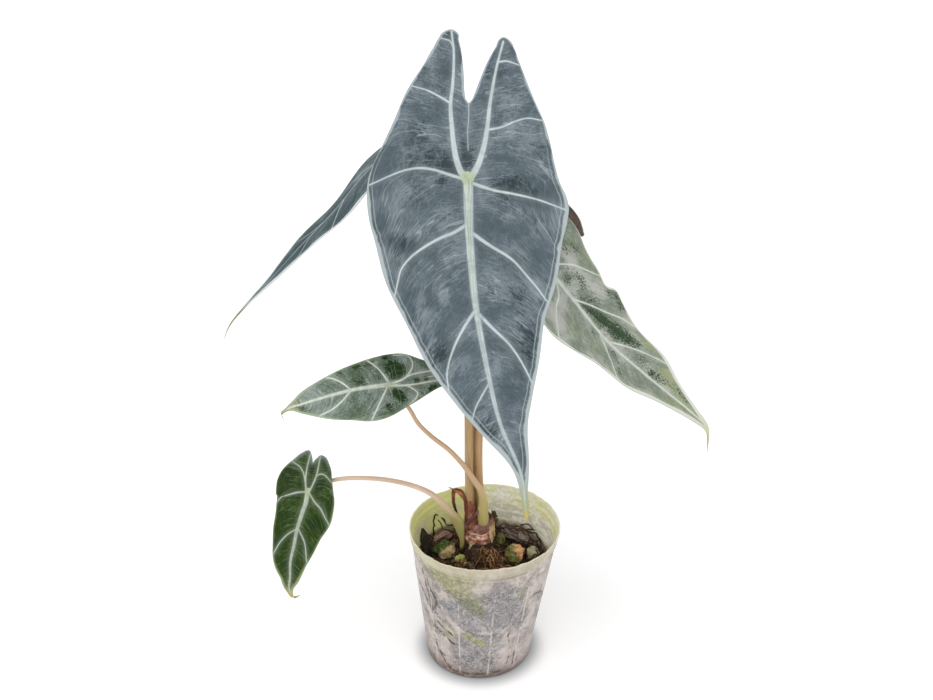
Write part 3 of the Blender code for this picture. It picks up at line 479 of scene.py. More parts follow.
class Heap:
    """Points, faces and fields of a piece while it is put together."""

    def __init__(self):
        self.points = []
        self.faces = []
        self.fields = {}
        self.finishes = []
        self.count = 0

    def add(self, points, faces, finish=0, **fields):
        """Add points (n, 3), faces (m, corners) and fields (n, 3)."""
        self.points.append(np.asarray(points, float).reshape(-1, 3))
        self.faces += (np.asarray(faces) + self.count).tolist()
        self.finishes += [finish] * len(faces)
        for key, values in fields.items():
            values = np.broadcast_to(np.asarray(values, float), self.points[-1].shape)
            self.fields.setdefault(key, []).append(values)
        self.count += len(self.points[-1])

    def make(self, name, materials, nodes=(), weld=0.004, sharp=None):
        """The finished piece; weld is the distance in millimetres within which points are joined."""
        mesh = bpy.data.meshes.new(name)
        mesh.from_pydata(np.concatenate(self.points) * MM, [], self.faces)
        mesh.polygons.foreach_set("material_index", self.finishes)
        for key, values in self.fields.items():
            field = mesh.attributes.new(key, "FLOAT_VECTOR", "POINT")
            field.data.foreach_set("vector", np.concatenate(values).ravel())
        shape = bmesh.new()
        shape.from_mesh(mesh)
        bmesh.ops.remove_doubles(shape, verts=shape.verts[:], dist=weld * MM)
        bmesh.ops.dissolve_degenerate(shape, edges=shape.edges[:], dist=weld * MM)
        shape.to_mesh(mesh)
        shape.free()
        mesh.shade_smooth()
        if sharp:
            mesh.set_sharp_from_angle(angle=math.radians(sharp))
        for material in materials:
            mesh.materials.append(material)
        piece = bpy.data.objects.new(name, mesh)
        bpy.context.scene.collection.objects.link(piece)
        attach(piece, BODY)
        if nodes:
            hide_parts(*nodes)


def evenly(points, step):
    """Points about step apart on the smooth line through some points."""
    keys = measured(points)
    return smooth(keys, steps_between(keys, step))


def quads(rows, columns, ring=False):
    """Faces between the points of a grid; ring joins its last column to its first."""
    ids = np.arange(rows * columns).reshape(rows, columns)
    if ring:
        ids = np.column_stack([ids, ids[:, 0]])
    return np.stack([ids[:-1, :-1], ids[1:, :-1], ids[1:, 1:], ids[:-1, 1:]], -1).reshape(-1, 4)


# Sizes that grow with a blade are given for one whose tip is this far from its stem.
BLADE_LENGTH = 240

# How far from its end each back lobe is rounded on such a blade, in millimetres.
LOBE_ROUND = 6.0


class Blade:
    """The curved surface of one blade, from places on its flat outline to points in space."""

    def __init__(self, leaf):
        spine = measured(leaf["spine"], leaf["joint"])
        self.leaf = leaf
        self.spine = spine
        self.across = np.column_stack([spine[:, 0], np.array(leaf["across"], float)])
        self.tip = leaf["left"][-1][0]
        self.scale = self.tip / BLADE_LENGTH

    def frame(self, s):
        """Spine point, direction to the right and upward normal at distance s."""
        middle = smooth(self.spine, s)
        ahead = unit(smooth(self.spine, s + 0.5) - smooth(self.spine, s - 0.5))
        right = smooth(self.across, s)
        right = unit(right - np.sum(right * ahead, -1, keepdims=True) * ahead)
        return middle, right, np.cross(ahead, right)

    def width(self, s, side, edge=""):
        """Distance from the spine to the outer edge, or to the sinus edge, at distance s."""
        keys = self.leaf[side + edge]
        return np.maximum(smooth(keys, np.clip(s, keys[0][0], keys[-1][0]))[..., 0], 0)

    def point(self, s, t, ripple, lift):
        """The point at distance s along and t out (negative is left), lift above the surface."""
        middle, right, up = self.frame(s)
        leaf = self.leaf
        fold = np.where(t < 0, leaf["fold"][0], leaf["fold"][1])
        turn = 2 * math.pi * leaf["turns"] * s / self.tip
        wave = leaf["wave"] * ripple * np.sin(turn + np.where(t < 0, 0.6, 2.4))
        height = fold * np.abs(t) - leaf["curl"] * t * t + wave + lift
        return middle + right * t[..., None] + up * height[..., None]

    def half(self, side, step):
        """Places on one half: distance along, distance out, share of the ripple, and the lobe's row count."""
        start = self.leaf[side][0][0]
        sinus = self.leaf[side + "_sinus"][-1][0]
        lobe_rows = int((sinus - start) / step * 1.3)
        lobe = start + (sinus - start) * (1 - np.cos(np.linspace(0, math.pi / 2, lobe_rows + 1)))
        body = np.linspace(sinus, self.tip, int((self.tip - sinus) / step) + 1)[1:]
        s = np.concatenate([lobe, body])
        inner = np.where(s < sinus, self.width(s, side, "_sinus"), 0)
        outer = np.maximum(self.width(s, side), inner)
        blunt = np.sqrt(np.maximum(LOBE_ROUND * self.scale / np.maximum(s - start, 0.01), 1))
        middle, reach = (inner + outer) / 2, (outer - inner) / 2 * blunt
        inner = np.where(s < sinus, middle - reach, 0)
        span = (middle + reach - inner)[:, None]
        columns = int(span.max() / step) + 1
        share = 1 - (1 - np.linspace(0, 1, columns)[None])**1.25
        t = inner[:, None] + span * share
        ripple = share**3 * np.minimum(span / 30, 1)**2
        return np.repeat(s[:, None], columns, axis=1), -t if side == "left" else t, ripple, lobe_rows


def nearest(spots, curve):
    """Signed distances from flat spots to a line through points, and the share of the line's length there."""
    step = np.diff(curve, axis=0)
    gap = spots[:, None, :] - curve[None, :-1]
    share = np.clip((gap * step).sum(-1) / np.maximum((step**2).sum(-1), 1e-9), 0, 1)
    distance = np.linalg.norm(gap - share[..., None] * step, axis=-1)
    best = distance.argmin(1)
    row = np.arange(len(spots))
    turn = step[best, 0] * gap[row, best, 1] - step[best, 1] * gap[row, best, 0]
    return np.where(turn < 0, -1, 1) * distance[row, best], (best + share[row, best]) / len(step)


def vein_field(spots, veins):
    """For each spot and its nearest vein: signed distance over half width, distance outside, half width."""
    result = np.tile([9.0, 99.0, 0.3], (len(spots), 1))
    for wide, narrow, points in veins:
        (s, t), (last_s, last_t) = points[-2:]
        reach = 4 / math.hypot(last_s - s, last_t - t)
        beyond = (last_s + reach * (last_s - s), last_t + reach * (last_t - t))
        distance, reach = nearest(spots, evenly(points + [beyond], 2.0))
        half = narrow + (wide - narrow) * (1 - reach)**1.5
        outside = np.abs(distance) - half
        closer = outside < result[:, 1]
        result[closer] = np.column_stack([distance / half, outside, half])[closer]
    return result


def blobs(spots, patches):
    """The sum of soft round patches of (distance along, distance out, radius, amount)."""
    total = np.zeros(len(spots))
    for s, t, radius, amount in patches:
        total += amount * np.exp(-((spots - (s, t))**2).sum(-1) / radius**2)
    return total


# How the fine strokes on a blade of BLADE_LENGTH run: (distance along, slope outward, bend).
FLOW = [(-110, 0.3, 0), (-49, 0.35, 0.2), (0, 0.15, 0.35), (35, -0.1, 0.55), (95, -0.2, 0.8),
        (250, -0.4, 1.1)]


def blade_fields(spots, edge, out, leaf, scale):
    """The fields of one half blade, and its nearest veins as vein_field gives them."""
    main = vein_field(spots, leaf["veins"][:3])
    lateral = vein_field(spots, leaf["veins"][3:])
    major = np.where((main[:, 1] < lateral[:, 1])[:, None], main, lateral)
    slope, bend = smooth(FLOW, spots[:, 0] / scale).T
    flow = spots[:, 0] + slope * out - bend * out**2 / (60 * scale)
    fields = dict(
        place=np.column_stack([spots, edge]), flow=np.column_stack([flow, spots[:, 1], out]),
        vein=np.column_stack([main[:, 0], np.maximum(main[:, 1], 0), np.maximum(major[:, 1], 0)]),
        side_vein=np.column_stack([lateral[:, 0], np.maximum(lateral[:, 1], 0), lateral[:, 2]]),
        shade=np.column_stack([blobs(spots, leaf[key]) for key in ("dark", "pale", "warm")]))
    return fields, major


def blade(name, leaf, step, quilt, thick, materials):
    """One blade, quilted between its veins, with raised ribs below."""
    surface = Blade(leaf)
    heap = Heap()
    scale = surface.scale
    for side in ("left", "right"):
        s, t, ripple, lobe_rows = surface.half(side, step)
        rows, columns = s.shape
        spots = np.column_stack([s.ravel(), t.ravel()])
        outline = np.column_stack([s[:, -1], t[:, -1]])
        sinus = np.column_stack([s[:lobe_rows + 1, 0], t[:lobe_rows + 1, 0]])
        edge = np.minimum(abs(nearest(spots, outline)[0]), abs(nearest(spots, sinus)[0]))
        fields, major = blade_fields(spots, edge, np.abs(t.ravel()), leaf, scale)
        across, outside, half = major[:, 0], np.maximum(major[:, 1], 0), major[:, 2]
        rib = 0.22 * half * np.sqrt(np.maximum(1 - across**2, 0))
        lift = np.minimum(edge / (10 * scale), 1) * (quilt * (1 - np.exp(-outside / (6 * scale))) + rib)
        ridge = 1.1 * half * np.sqrt(np.maximum(1 - (across / 1.3)**2, 0)) * np.minimum(edge / 4, 1)
        depth = thick * (0.45 + 0.55 * np.minimum(edge / 6, 1)) + ridge
        top = surface.point(s, t, ripple, lift.reshape(s.shape))
        below = surface.point(s, t, ripple, (lift - depth).reshape(s.shape))
        faces = quads(rows, columns)
        flip = 1 if side == "right" else -1
        heap.add(top, faces[:, ::flip], 0, **fields)
        heap.add(below, faces[:, ::-flip], 1, **fields)
        for count, column, turn in ((rows, -1, flip), (lobe_rows + 1, 0, -flip)):
            rim = np.stack([below[:count, column], top[:count, column]], axis=1)
            pick = np.arange(rows * columns).reshape(rows, columns)[:count, column]
            rim_fields = {key: np.repeat(values[pick], 2, axis=0) for key, values in fields.items()}
            heap.add(rim, quads(count, 2)[:, ::turn], 1, **rim_fields)
    heap.make(name + "_veined", materials, (name,), weld=0.02)
    return surface


def core(n, signed, gap, low, high, start=1.0, near=0.4, far=0.75):
    """The pale middle of a vein, from the distances in its field."""
    return n.rise(abs(signed), low, high, start, 0) * n.rise(gap, near, far, 1, 0)


def leaf_ground(n, look):
    """A blade's hatched ground, with clouds and patches of painted sheen, and dark blotches that are painted
    shade where they lie round the front blade's joint.

    Returns the place along its strokes and the noises that the veins and the margin use again.
    """
    across, down, _ = n.field("flow")
    dark, pale, warm = n.field("shade")
    stroke = look["stroke"]
    brush = n.join(across, down * look["drawn"])
    clouds = n.join(across, down * 0.5, 3.0)
    cross = n.join(across * 0.3, down * 0.9, 7.0)
    strokes = n.noise(brush, stroke, 6, 0.7, 0.35)
    hatch = n.noise(cross, stroke * 1.2, 5, 0.7, 0.5)
    broad = n.noise(clouds, stroke * 0.16, 5, 0.6, 0.6)
    cloud = n.noise(n.place(), 48, 4, 0.5, 0.4)
    brushed = n.rise(strokes * 0.65 + hatch * 0.35, 0.4, 0.6)
    n.colour = n.mix(brushed, look["deep"], look["light"])
    # Painted sheen: pale clouds where the large noise is high.
    n.wash(look["painted_sheen"], cloud, 0.5, 0.66, 0, look["cloudy"])
    n.wash(look["dull"], cloud, 0.36, 0.5, 0.6, 0)
    n.wash(look["dull"], broad, 0.36, 0.5, 0.6, 0)
    ragged = brushed * 0.6 + n.rise(broad, 0.36, 0.64, 0, 0.4) - 0.5
    # Painted sheen: ragged pale patches from the pale part of the shade field.
    painted_sheen = n.stir(pale + ragged * 0.9, cloud, 1.4)
    n.wash(look["painted_sheen"], painted_sheen, 0.1, 1.2, 0, look["painted_sheen_share"])
    n.wash(look["warm"], warm + ragged * 0.8, 0.15, 1.0, 0, 0.65)
    # Dark blotches; on the front blade those round the stem's joint are painted shade of its quilting.
    blotch = dark - ragged * look["ragged"]
    blotch = n.stir(blotch, n.noise(n.place(), 650, 5, 0.7), look["fleck"])
    blotch = n.rise(blotch, *look["blotch_step"]) * n.rise(dark, 0.02, 0.3)
    n.coat(blotch * look["blotch_share"], look["blotch"])
    return brush, strokes, hatch, broad, cloud


def leaf_veins(n, look, brush, broad, cloud):
    """The fine rungs between a blade's veins, and the pale veins with their halo; returns where these are."""
    along, _, edge = n.field("place")
    across, _, out = n.field("flow")
    signed, main_gap, gap = n.field("vein")
    side_signed, side_gap, _ = n.field("side_vein")
    rung, vein, halo, joint = look["rung"], look["vein"], look["halo"], look["joint"]
    drift = n.noise(brush, look["stroke"] * 0.12, 2, 0.5)
    other = n.noise(n.place(), 70, 4, 0.6, 0.5)
    for place, period, strength, mask in ((across, rung, 1.0, cloud), (out, rung * 1.4, 0.4, other)):
        rungs = n.math("PINGPONG", n.stir(place, drift, rung * 3), period / 2)
        n.coat(n.rise(rungs, 0, 0.35, look["hair"] * strength, 0) * n.rise(mask, 0.4, 0.56), vein)
    n.coat(n.rise(gap, 0, 0.9, halo, 0) + n.rise(gap, 0, 4, halo * 0.5, 0), vein)
    veins = n.math("MAXIMUM", core(n, signed, main_gap, 0.75, 1.2), core(n, side_signed, side_gap, 0.7, 1.35))
    veins = veins * n.rise(edge, 0.2, 1.4)
    middle = n.math("SQRT", along * along + out * out)
    keel = n.rise(out, 0.8, 2.6, 0.6, 0) * n.rise(middle, 0, look["core_to"], 1, 0)
    vein = n.mix(keel * n.rise(along, -6, -2), vein, look["junction"])
    vein = n.mix(n.rise(middle, joint * 0.2, joint, 1, 0), vein, look["joint_colour"])
    vein = n.mix(n.rise(broad, 0.4, 0.6, 0.2, 0), vein, look["field"])
    grooves = n.noise(n.join(signed, along * 0.012), 3.5, 3, 0.6)
    groove = n.rise(grooves, 0.42, 0.56, 0.4, 0) * n.rise(out, 2.5, 5, 1, 0)
    vein = n.mix(groove * n.rise(along, -4, 0), vein, look["light"])
    n.coat(veins * 0.93, vein)
    return veins


def leaf_margin(n, look, cloud):
    """A blade's pale margin, the thin line inside it, and a painted sheen along the back lobes' edges."""
    along, _, edge = n.field("place")
    band, tip_from, tip_to, sheen_to = look["band"], look["tip_from"], look["tip_to"], look["sheen_to"]
    near_tip = n.rise(along, tip_from * 0.6, tip_from) * look["band_tip"]
    wide = n.stir(n.rise(along, -40, 40, band * 0.6, band * 1.2) + near_tip, cloud, band * 2.5)
    margin = n.mix(n.rise(along, -70, 10), look["back_margin"], look["margin"])
    margin = n.mix(n.rise(along, tip_from, tip_to), margin, look["tip"])
    margin = n.mix(n.rise(along, tip_to - 4, tip_to + 3), margin, look["point"])
    trail = abs(edge - (wide + band * 1.1))
    n.coat(n.rise(trail, 0.1, 0.6, look["trail"], 0) * n.rise(along, -60, 30), margin)
    n.wash(margin, edge - wide, -0.7, 0.5, look["band_share"], 0)
    # Painted sheen: a blue-grey band along the edges of the back lobes.
    sheen = n.rise(along, sheen_to - 12, sheen_to, look["sheen"], 0)
    n.coat(sheen * n.rise(edge, 0, 4, 1, 0), rgb(146, 160, 156))


def leaf_top(name, look):
    """The upper side of a blade."""
    n = Nodes(name)
    brush, strokes, hatch, broad, cloud = leaf_ground(n, look)
    veins = leaf_veins(n, look, brush, broad, cloud)
    leaf_margin(n, look, cloud)
    rough = n.stir(look["rough"], strokes, 0.35) + veins * 0.12
    return n.done(rough, strokes + hatch * 0.6, look["bump"], gloss=look["gloss"])


def leaf_below(name, look):
    """The lower side of a blade: dull, with pale ribs and a fine net."""
    n = Nodes(name)
    along, _, edge = n.field("place")
    across, down, _ = n.field("flow")
    brush = n.join(across, down * 0.3)
    strokes = n.noise(brush, look["stroke"] * 0.6, 5, 0.6)
    net = n.rise(n.cells(brush, look["stroke"] * 0.4, "DISTANCE_TO_EDGE"), 0, 0.08, 0.3, 0)
    n.colour = n.mix(n.rise(strokes, 0.3, 0.7), look["under_deep"], look["under"])
    n.coat(net, look["under_vein"])
    for veins in ("vein", "side_vein"):
        signed, gap, _ = n.field(veins)
        n.coat(core(n, signed, gap, 0.8, 1.4, 0.8, 0.5, 0.9), look["under_vein"])
    to_tip = (along, look["tip_from"], look["tip_to"])
    margin = n.mix(n.rise(*to_tip), look["margin"], look["tip"])
    n.wash(margin, edge, 0.3, 0.9, look["under_margin"], 0)
    n.wash(look["tip"], *to_tip, 0, 0.8)
    return n.done(0.6, strokes + net, 0.25, gloss=0.15)


def tube(keys, step, sides, swell=None):
    """Rings round the smooth path through keys of (x, y, z, half width, half depth), closed at its ends.

    Returns the points and, for the materials, places round and along the tube in millimetres.
    """
    path = measured(keys)
    at = steps_between(path, step)
    values = smooth(path, at)
    centres, sizes = values[:, :3], np.maximum(values[:, 3:], 0.02)
    along = unit(np.gradient(centres, axis=0))
    angles = 2 * math.pi * np.arange(sides) / sides
    side = Vector((1, 0, 0))
    rings = []
    for centre, direction, (wide, deep) in zip(centres, along, sizes):
        direction = Vector(direction)
        side = (side - direction * side.dot(direction)).normalized()
        other = np.array(direction.cross(side))
        rings.append(np.array(centre) + np.outer(np.cos(angles) * wide, np.array(side))
                     + np.outer(np.sin(angles) * deep, other))
    rings = np.array(rings)
    if swell:
        rings = centres[:, None] + (rings - centres[:, None]) * swell(at[:, None], angles[None])[..., None]
    rings = np.concatenate([centres[:1, None].repeat(sides, 1), rings, centres[-1:, None].repeat(sides, 1)])
    at = np.concatenate([at[:1], at, at[-1:]])
    girth = sizes.mean()
    marks = np.broadcast_arrays(np.cos(angles) * girth, np.sin(angles) * girth, at[:, None])
    return rings, np.stack(marks, -1).reshape(-1, 3)


def add_tube(heap, keys, step, sides, finish=0, swell=None):
    """Add a tube to a heap."""
    rings, marks = tube(keys, step, sides, swell)
    heap.add(rings, quads(len(rings), sides, True)[:, ::-1], finish, mark=marks)


# The looks of the blades: colours, strokes a millimetre, and widths and distances in millimetres.
SLATE = dict(
    stroke=1.1, drawn=0.2, deep=rgb(76, 89, 95), light=rgb(103, 114, 121), dull=rgb(68, 81, 87),
    field=rgb(94, 105, 110), painted_sheen=rgb(136, 145, 153), painted_sheen_share=0.6, warm=rgb(104, 112, 92),
    blotch=rgb(30, 44, 48), ragged=1.1, blotch_step=(0.2, 1.1), blotch_share=0.75, fleck=0.5, rung=6.0,
    hair=0.3, vein=rgb(190, 201, 203), joint=8.0, joint_colour=rgb(188, 200, 160),
    junction=rgb(196, 206, 178), cloudy=0.3, core_to=150, halo=0.16, band=1.9, band_tip=0.5,
    band_share=0.85, trail=0.5, margin=rgb(174, 183, 183), back_margin=rgb(164, 175, 179),
    tip=rgb(166, 169, 118), point=rgb(196, 168, 72), tip_from=198, tip_to=239, sheen=0.0, sheen_to=-60,
    rough=0.5, gloss=0.12, bump=0.2, under_deep=rgb(46, 31, 22), under=rgb(78, 54, 39),
    under_vein=rgb(92, 68, 50), under_margin=0.4)
TEAL = dict(
    SLATE, cloudy=0.25, deep=rgb(40, 60, 66), light=rgb(70, 91, 96), dull=rgb(42, 62, 68),
    field=rgb(58, 78, 84), painted_sheen=rgb(118, 136, 136), painted_sheen_share=0.7, vein=rgb(176, 190, 190), halo=0.05,
    band=2.3, hair=0.1, trail=0.1, tip_from=234, tip_to=252, tip=rgb(126, 120, 84), point=rgb(150, 140, 96),
    gloss=0.08, margin=rgb(216, 222, 222), core_to=8, under_deep=rgb(58, 42, 32), under=rgb(100, 80, 64),
    under_vein=rgb(112, 92, 74), under_margin=0.95)
OLIVE = dict(
    SLATE, stroke=1.6, drawn=0.28, deep=rgb(98, 111, 94), light=rgb(152, 160, 147), dull=rgb(105, 118, 101),
    field=rgb(132, 143, 128), painted_sheen=rgb(176, 177, 170), painted_sheen_share=0.9, warm=rgb(150, 158, 112),
    blotch=rgb(32, 56, 24), blotch_step=(0.42, 0.58), blotch_share=0.92, ragged=0.4, fleck=5.0, cloudy=0.7,
    vein=rgb(212, 217, 208), junction=rgb(206, 212, 194), joint_colour=rgb(200, 206, 176), core_to=10,
    halo=0.2, band=1.6, band_tip=2.4, band_share=1.0, margin=rgb(206, 210, 198),
    back_margin=rgb(206, 210, 198), tip=rgb(196, 194, 156), point=rgb(170, 150, 104), tip_from=150,
    tip_to=184, rough=0.5, trail=0.2, gloss=0.15, hair=0.25)
GREEN = dict(
    SLATE, stroke=2.0, drawn=0.25, cloudy=0.5, deep=rgb(48, 70, 46), light=rgb(132, 147, 134),
    dull=rgb(66, 88, 62), field=rgb(96, 116, 94), painted_sheen=rgb(134, 146, 142), painted_sheen_share=0.85,
    warm=rgb(150, 138, 70), blotch=rgb(28, 56, 14), blotch_step=(0.4, 0.6), blotch_share=0.95, ragged=0.7,
    fleck=1.8, rung=3.2, hair=0.3, vein=rgb(218, 227, 214), junction=rgb(206, 216, 190),
    joint_colour=rgb(192, 203, 168), core_to=12, halo=0.2, joint=5.0, band=0.8, band_tip=0.6,
    margin=rgb(156, 171, 142), back_margin=rgb(156, 171, 150), tip=rgb(150, 136, 70),
    point=rgb(150, 120, 50), tip_from=70, tip_to=82, rough=0.3, gloss=0.22, trail=0.2, bump=0.15,
    under_deep=rgb(84, 90, 66), under=rgb(108, 114, 88), under_vein=rgb(136, 140, 112))
DEEP_GREEN = dict(
    GREEN, deep=rgb(26, 46, 4), light=rgb(52, 76, 20), dull=rgb(30, 50, 6), field=rgb(40, 62, 16),
    painted_sheen=rgb(66, 90, 48), painted_sheen_share=0.6, cloudy=0.2, blotch=rgb(24, 48, 6), ragged=0.6, fleck=0.0,
    blotch_step=(0.3, 1.0), stroke=1.4, drawn=0.2, vein=rgb(186, 196, 180), halo=0.22, hair=0.14,
    margin=rgb(146, 158, 122), back_margin=rgb(140, 154, 134), tip=rgb(176, 156, 84),
    point=rgb(196, 170, 90), tip_from=76, tip_to=92, sheen=0.55, sheen_to=-14, gloss=0.12, rough=0.4,
    band=0.5, band_tip=1.2)


def stem_finish(name, foot, low, high, deep, turn, change, soil_to=None):
    """Smooth living stalk: fine long streaks, and a foot of another colour up to turn millimetres along it.

    With soil_to it is dark and dirty up to there.
    """
    n = Nodes(name)
    x, y, along = n.field("mark")
    streak = n.noise(n.join(x, y, along * 0.03), 1.4, 5, 0.6)
    spot = n.noise(n.join(x, y, along), 0.5, 4, 0.6)
    ragged = n.stir(along, streak, change * 1.5)
    n.colour = n.mix(n.rise(ragged, turn - change, turn + change), foot, low)
    n.wash(high, along, 90, 300, 0, 0.9)
    n.wash(deep, streak, 0.38, 0.6, 0.45, 0)
    n.wash(deep, spot, 0.55, 0.75, 0, 0.3)
    if soil_to:
        n.wash(rgb(34, 27, 18), along, soil_to - 4, soil_to + 3, 0.95, 0)
    return n.done(0.45, streak, 0.15, gloss=0.35, soft=0.1)


# The top of the corm's skin, wider than the construction's, as (x, y, z, radius), and where it takes over.
SKIN_FROM = 106
CORM_TOP = [(0, 6.4, 108, 12.0), (0, 6.3, 111, 11.6), (0, 6.2, 114, 11.7), (0, 6, 118, 11.2),
            (0, 6, 120, 9.5)]


def slab(heap, front, back, marks):
    """A closed sheet between two grids of points (rows, columns, xyz), with a grid of marks."""
    rows, columns = front.shape[:2]
    heap.add(front, quads(rows, columns), mark=marks.reshape(-1, 3))
    heap.add(back, quads(rows, columns)[:, ::-1], mark=marks.reshape(-1, 3))
    borders = [(slice(None), 0, 1), (slice(None), -1, -1), (0, slice(None), -1), (-1, slice(None), 1)]
    for row, column, turn in borders:
        edge = np.stack([back[row, column], front[row, column]])
        both = np.stack([marks[row, column]] * 2).reshape(-1, 3)
        heap.add(edge, quads(2, edge.shape[1])[:, ::turn], mark=both)


def stem(name, keys, surface, end, material):
    """A leaf stem, from its rounded foot to the rib under its blade, where it is as wide as the rib."""
    middle, _, up = surface.frame(np.array([0.0]))
    x, y, z, wide, deep = keys[0]
    foot = [(x, y, z - 4.6, 0.45 * wide, 0.45 * deep), (x, y, z - 3.2, 0.85 * wide, 0.85 * deep)]
    keys = foot + keys + [(*(middle[0] - up[0] * (end + 0.4)), end, end)]
    heap = Heap()
    add_tube(heap, keys, 1.2, 32)
    heap.make(name + "_stalk", [material], (name,))


def ridged(ring_gap, ring_depth, rough, seed):
    """A swell for tubes: rings along them and an uneven skin."""
    def swell(along, angle):
        rings = ring_depth * np.cos(2 * math.pi * along / ring_gap + 0.6 * np.sin(angle + seed))
        bumps = (np.sin(3 * angle + seed + 0.3 * along) * np.sin(0.9 * along + seed)
                 + 0.6 * np.sin(7 * angle + 1.7 * along + seed) + 0.4 * np.sin(13 * angle - 2.3 * along))
        return 1 + rings + rough * bumps
    return swell


def corm_finish():
    """Flaky skin, cream and pink above with painted white glints, mauve in the hollows, rough and dark below.
    """
    n = Nodes("corm_skin")
    x, y, along = n.field("mark")
    band = n.math("SINE", along * (2 * math.pi / 4.2))
    grain = n.noise(n.join(x, y, along * 1.3), 0.24, 4, 0.5)
    patch = n.noise(n.join(x, y, along), 0.2, 4, 0.6)
    n.colour = n.mix(n.rise(grain, 0.4, 0.58), rgb(150, 88, 78), rgb(240, 186, 160))
    n.wash(rgb(166, 94, 86), patch, 0.54, 0.62, 0, 0.4)
    n.wash(rgb(196, 158, 130), patch, 0.4, 0.46, 0.7, 0)
    n.wash(rgb(104, 56, 48), band, -1, -0.5, 0.35, 0)
    # Painted highlights: near-white glints where the grain is high.
    n.wash(rgb(252, 226, 210), grain, 0.57, 0.66, 0, 0.8)
    level = n.stir(along, patch, 16)
    n.wash(rgb(38, 28, 20), level, 40, 44, 0.97, 0)
    return n.done(n.rise(grain, 0.3, 0.7, 0.55, 0.25), grain, 1.6, gloss=0.7)


def corm():
    """The flaky corm with its leaf scars."""
    heap = Heap()
    keys = [key for key in CORM if key[2] < SKIN_FROM] + CORM_TOP
    add_tube(heap, [(*key, key[3]) for key in keys], 0.4, 120, 0, ridged(4.2, 0.012, 0.03, 2.0))
    heap.make("corm_body", [corm_finish()], ("corm",))


# How thick the papery sheets are.
SHEET = 0.45


def crown_sheet(centre, low, high, radius):
    """Grids for a sheet wrapped round a leaning axis.

    Centre gives (x, y) at a height, low and high give the edges' heights at an angle from the front,
    and radius gives the distance out at a height and angle.
    """
    angle = np.radians(np.linspace(low[0], high[0], 60))[None]
    share = np.linspace(0, 1, 34)[:, None]
    bottom, top = low[1](angle), high[1](angle)
    z = bottom + (top - bottom) * share
    x, y = centre(z)
    out = radius(z, angle, share)
    front, back = (np.stack([x + reach * np.sin(angle), y - reach * np.cos(angle), z], -1)
                   for reach in (out, out - SHEET))
    marks = np.stack([out * np.sin(angle), -out * np.cos(angle), z + 0 * angle], -1)
    return front, back, marks


def dry_wrap():
    """The papery red-brown sheath round the front stem's foot, and the dark ribbon that crosses it."""
    heap = Heap()

    def centre(z):
        share = (z - 118) / 36
        return -5.9 - 1.7 * share, 2.4 - 3.2 * share

    def bottom(angle):
        return 117 + 1.5 * np.cos(2 * angle)

    def top(angle):
        turn = np.degrees(angle)
        waves = 1.6 * np.sin(2 * angle + 1) + 0.3 * np.sin(17 * angle)
        return 147 - 0.04 * (turn + 80) - 0.0006 * np.maximum(turn, 0)**2 + waves

    def radius(z, angle, share):
        pleats = 0.3 * np.sin(9 * angle + 0.1 * z) + 0.2 * np.sin(21 * angle - 0.13 * z)
        return 4.1 + 2.4 * (1 - share)**2 + pleats * (1 - share**3)

    front, back, marks = crown_sheet(centre, (-175, bottom), (100, top), radius)
    slab(heap, front, back, marks)
    wrap = strip_finish("dry_wrap_skin", rgb(116, 62, 50), rgb(162, 102, 78), rgb(196, 148, 112))
    heap.make("dry_wrap", [wrap], sharp=60)
    heap = Heap()
    ribbon = [(1.2, -5.2, 141, 0.3, 0.2), (-0.6, -6.6, 138, 0.8, 0.4), (-3.2, -7.4, 134, 1.2, 0.5),
              (-6.4, -7.6, 130, 1.4, 0.6), (-9.4, -6.4, 125.5, 1.8, 0.7), (-11.8, -4.4, 119, 2.3, 0.9),
              (-12.6, -2.8, 111, 1.6, 0.8), (-12.2, -3, 106, 0.6, 0.4)]
    add_tube(heap, ribbon, 0.5, 24, 0, ridged(2.6, 0.05, 0.12, 4.0))
    dark = strip_finish("dry_ribbon_skin", rgb(70, 38, 38), rgb(110, 68, 64), rgb(146, 100, 90))
    heap.make("dry_ribbon", [dark])


def collar():
    """The mauve scar band that the stems stand in."""
    heap = Heap()

    def centre(z):
        return 0.3, 6.0

    def bottom(angle):
        return 113.5 + 0.8 * np.sin(3 * angle)

    def top(angle):
        return 122.5 + 2.2 * np.cos(angle - 1.4) + 1.0 * np.cos(2 * angle - 0.5) + 0.25 * np.sin(11 * angle)

    def radius(z, angle, share):
        swelling = 0.7 * np.sin(math.pi * np.minimum(share * 1.2, 1)) - 0.9 * share**3
        return 11.3 + swelling + 0.15 * np.sin(14 * angle)

    front, back, marks = crown_sheet(centre, (-179, bottom), (180, top), radius)
    slab(heap, front, back, marks)
    keys = [(0, 6.2, 116, 10.4, 10.4), (0.2, 6.0, 119.5, 10.8, 10.8), (0.4, 5.8, 121.5, 9.6, 9.6),
            (0.5, 5.6, 122.5, 6, 6)]
    add_tube(heap, keys, 0.4, 110)
    mauve = strip_finish("collar_skin", rgb(104, 66, 60), rgb(156, 112, 100), rgb(188, 152, 134))
    heap.make("corm_collar", [mauve])


# The scales that peel off the corm, as (degrees round it, height of the top, length, half width, lift).
SCALES = [(54, 120, 14.5, 3.4, 2.2), (76, 119, 11, 2.6, 1.4), (-28, 107, 8.0, 2.0, 1.0),
          (120, 117, 10, 3.0, 1.6)]


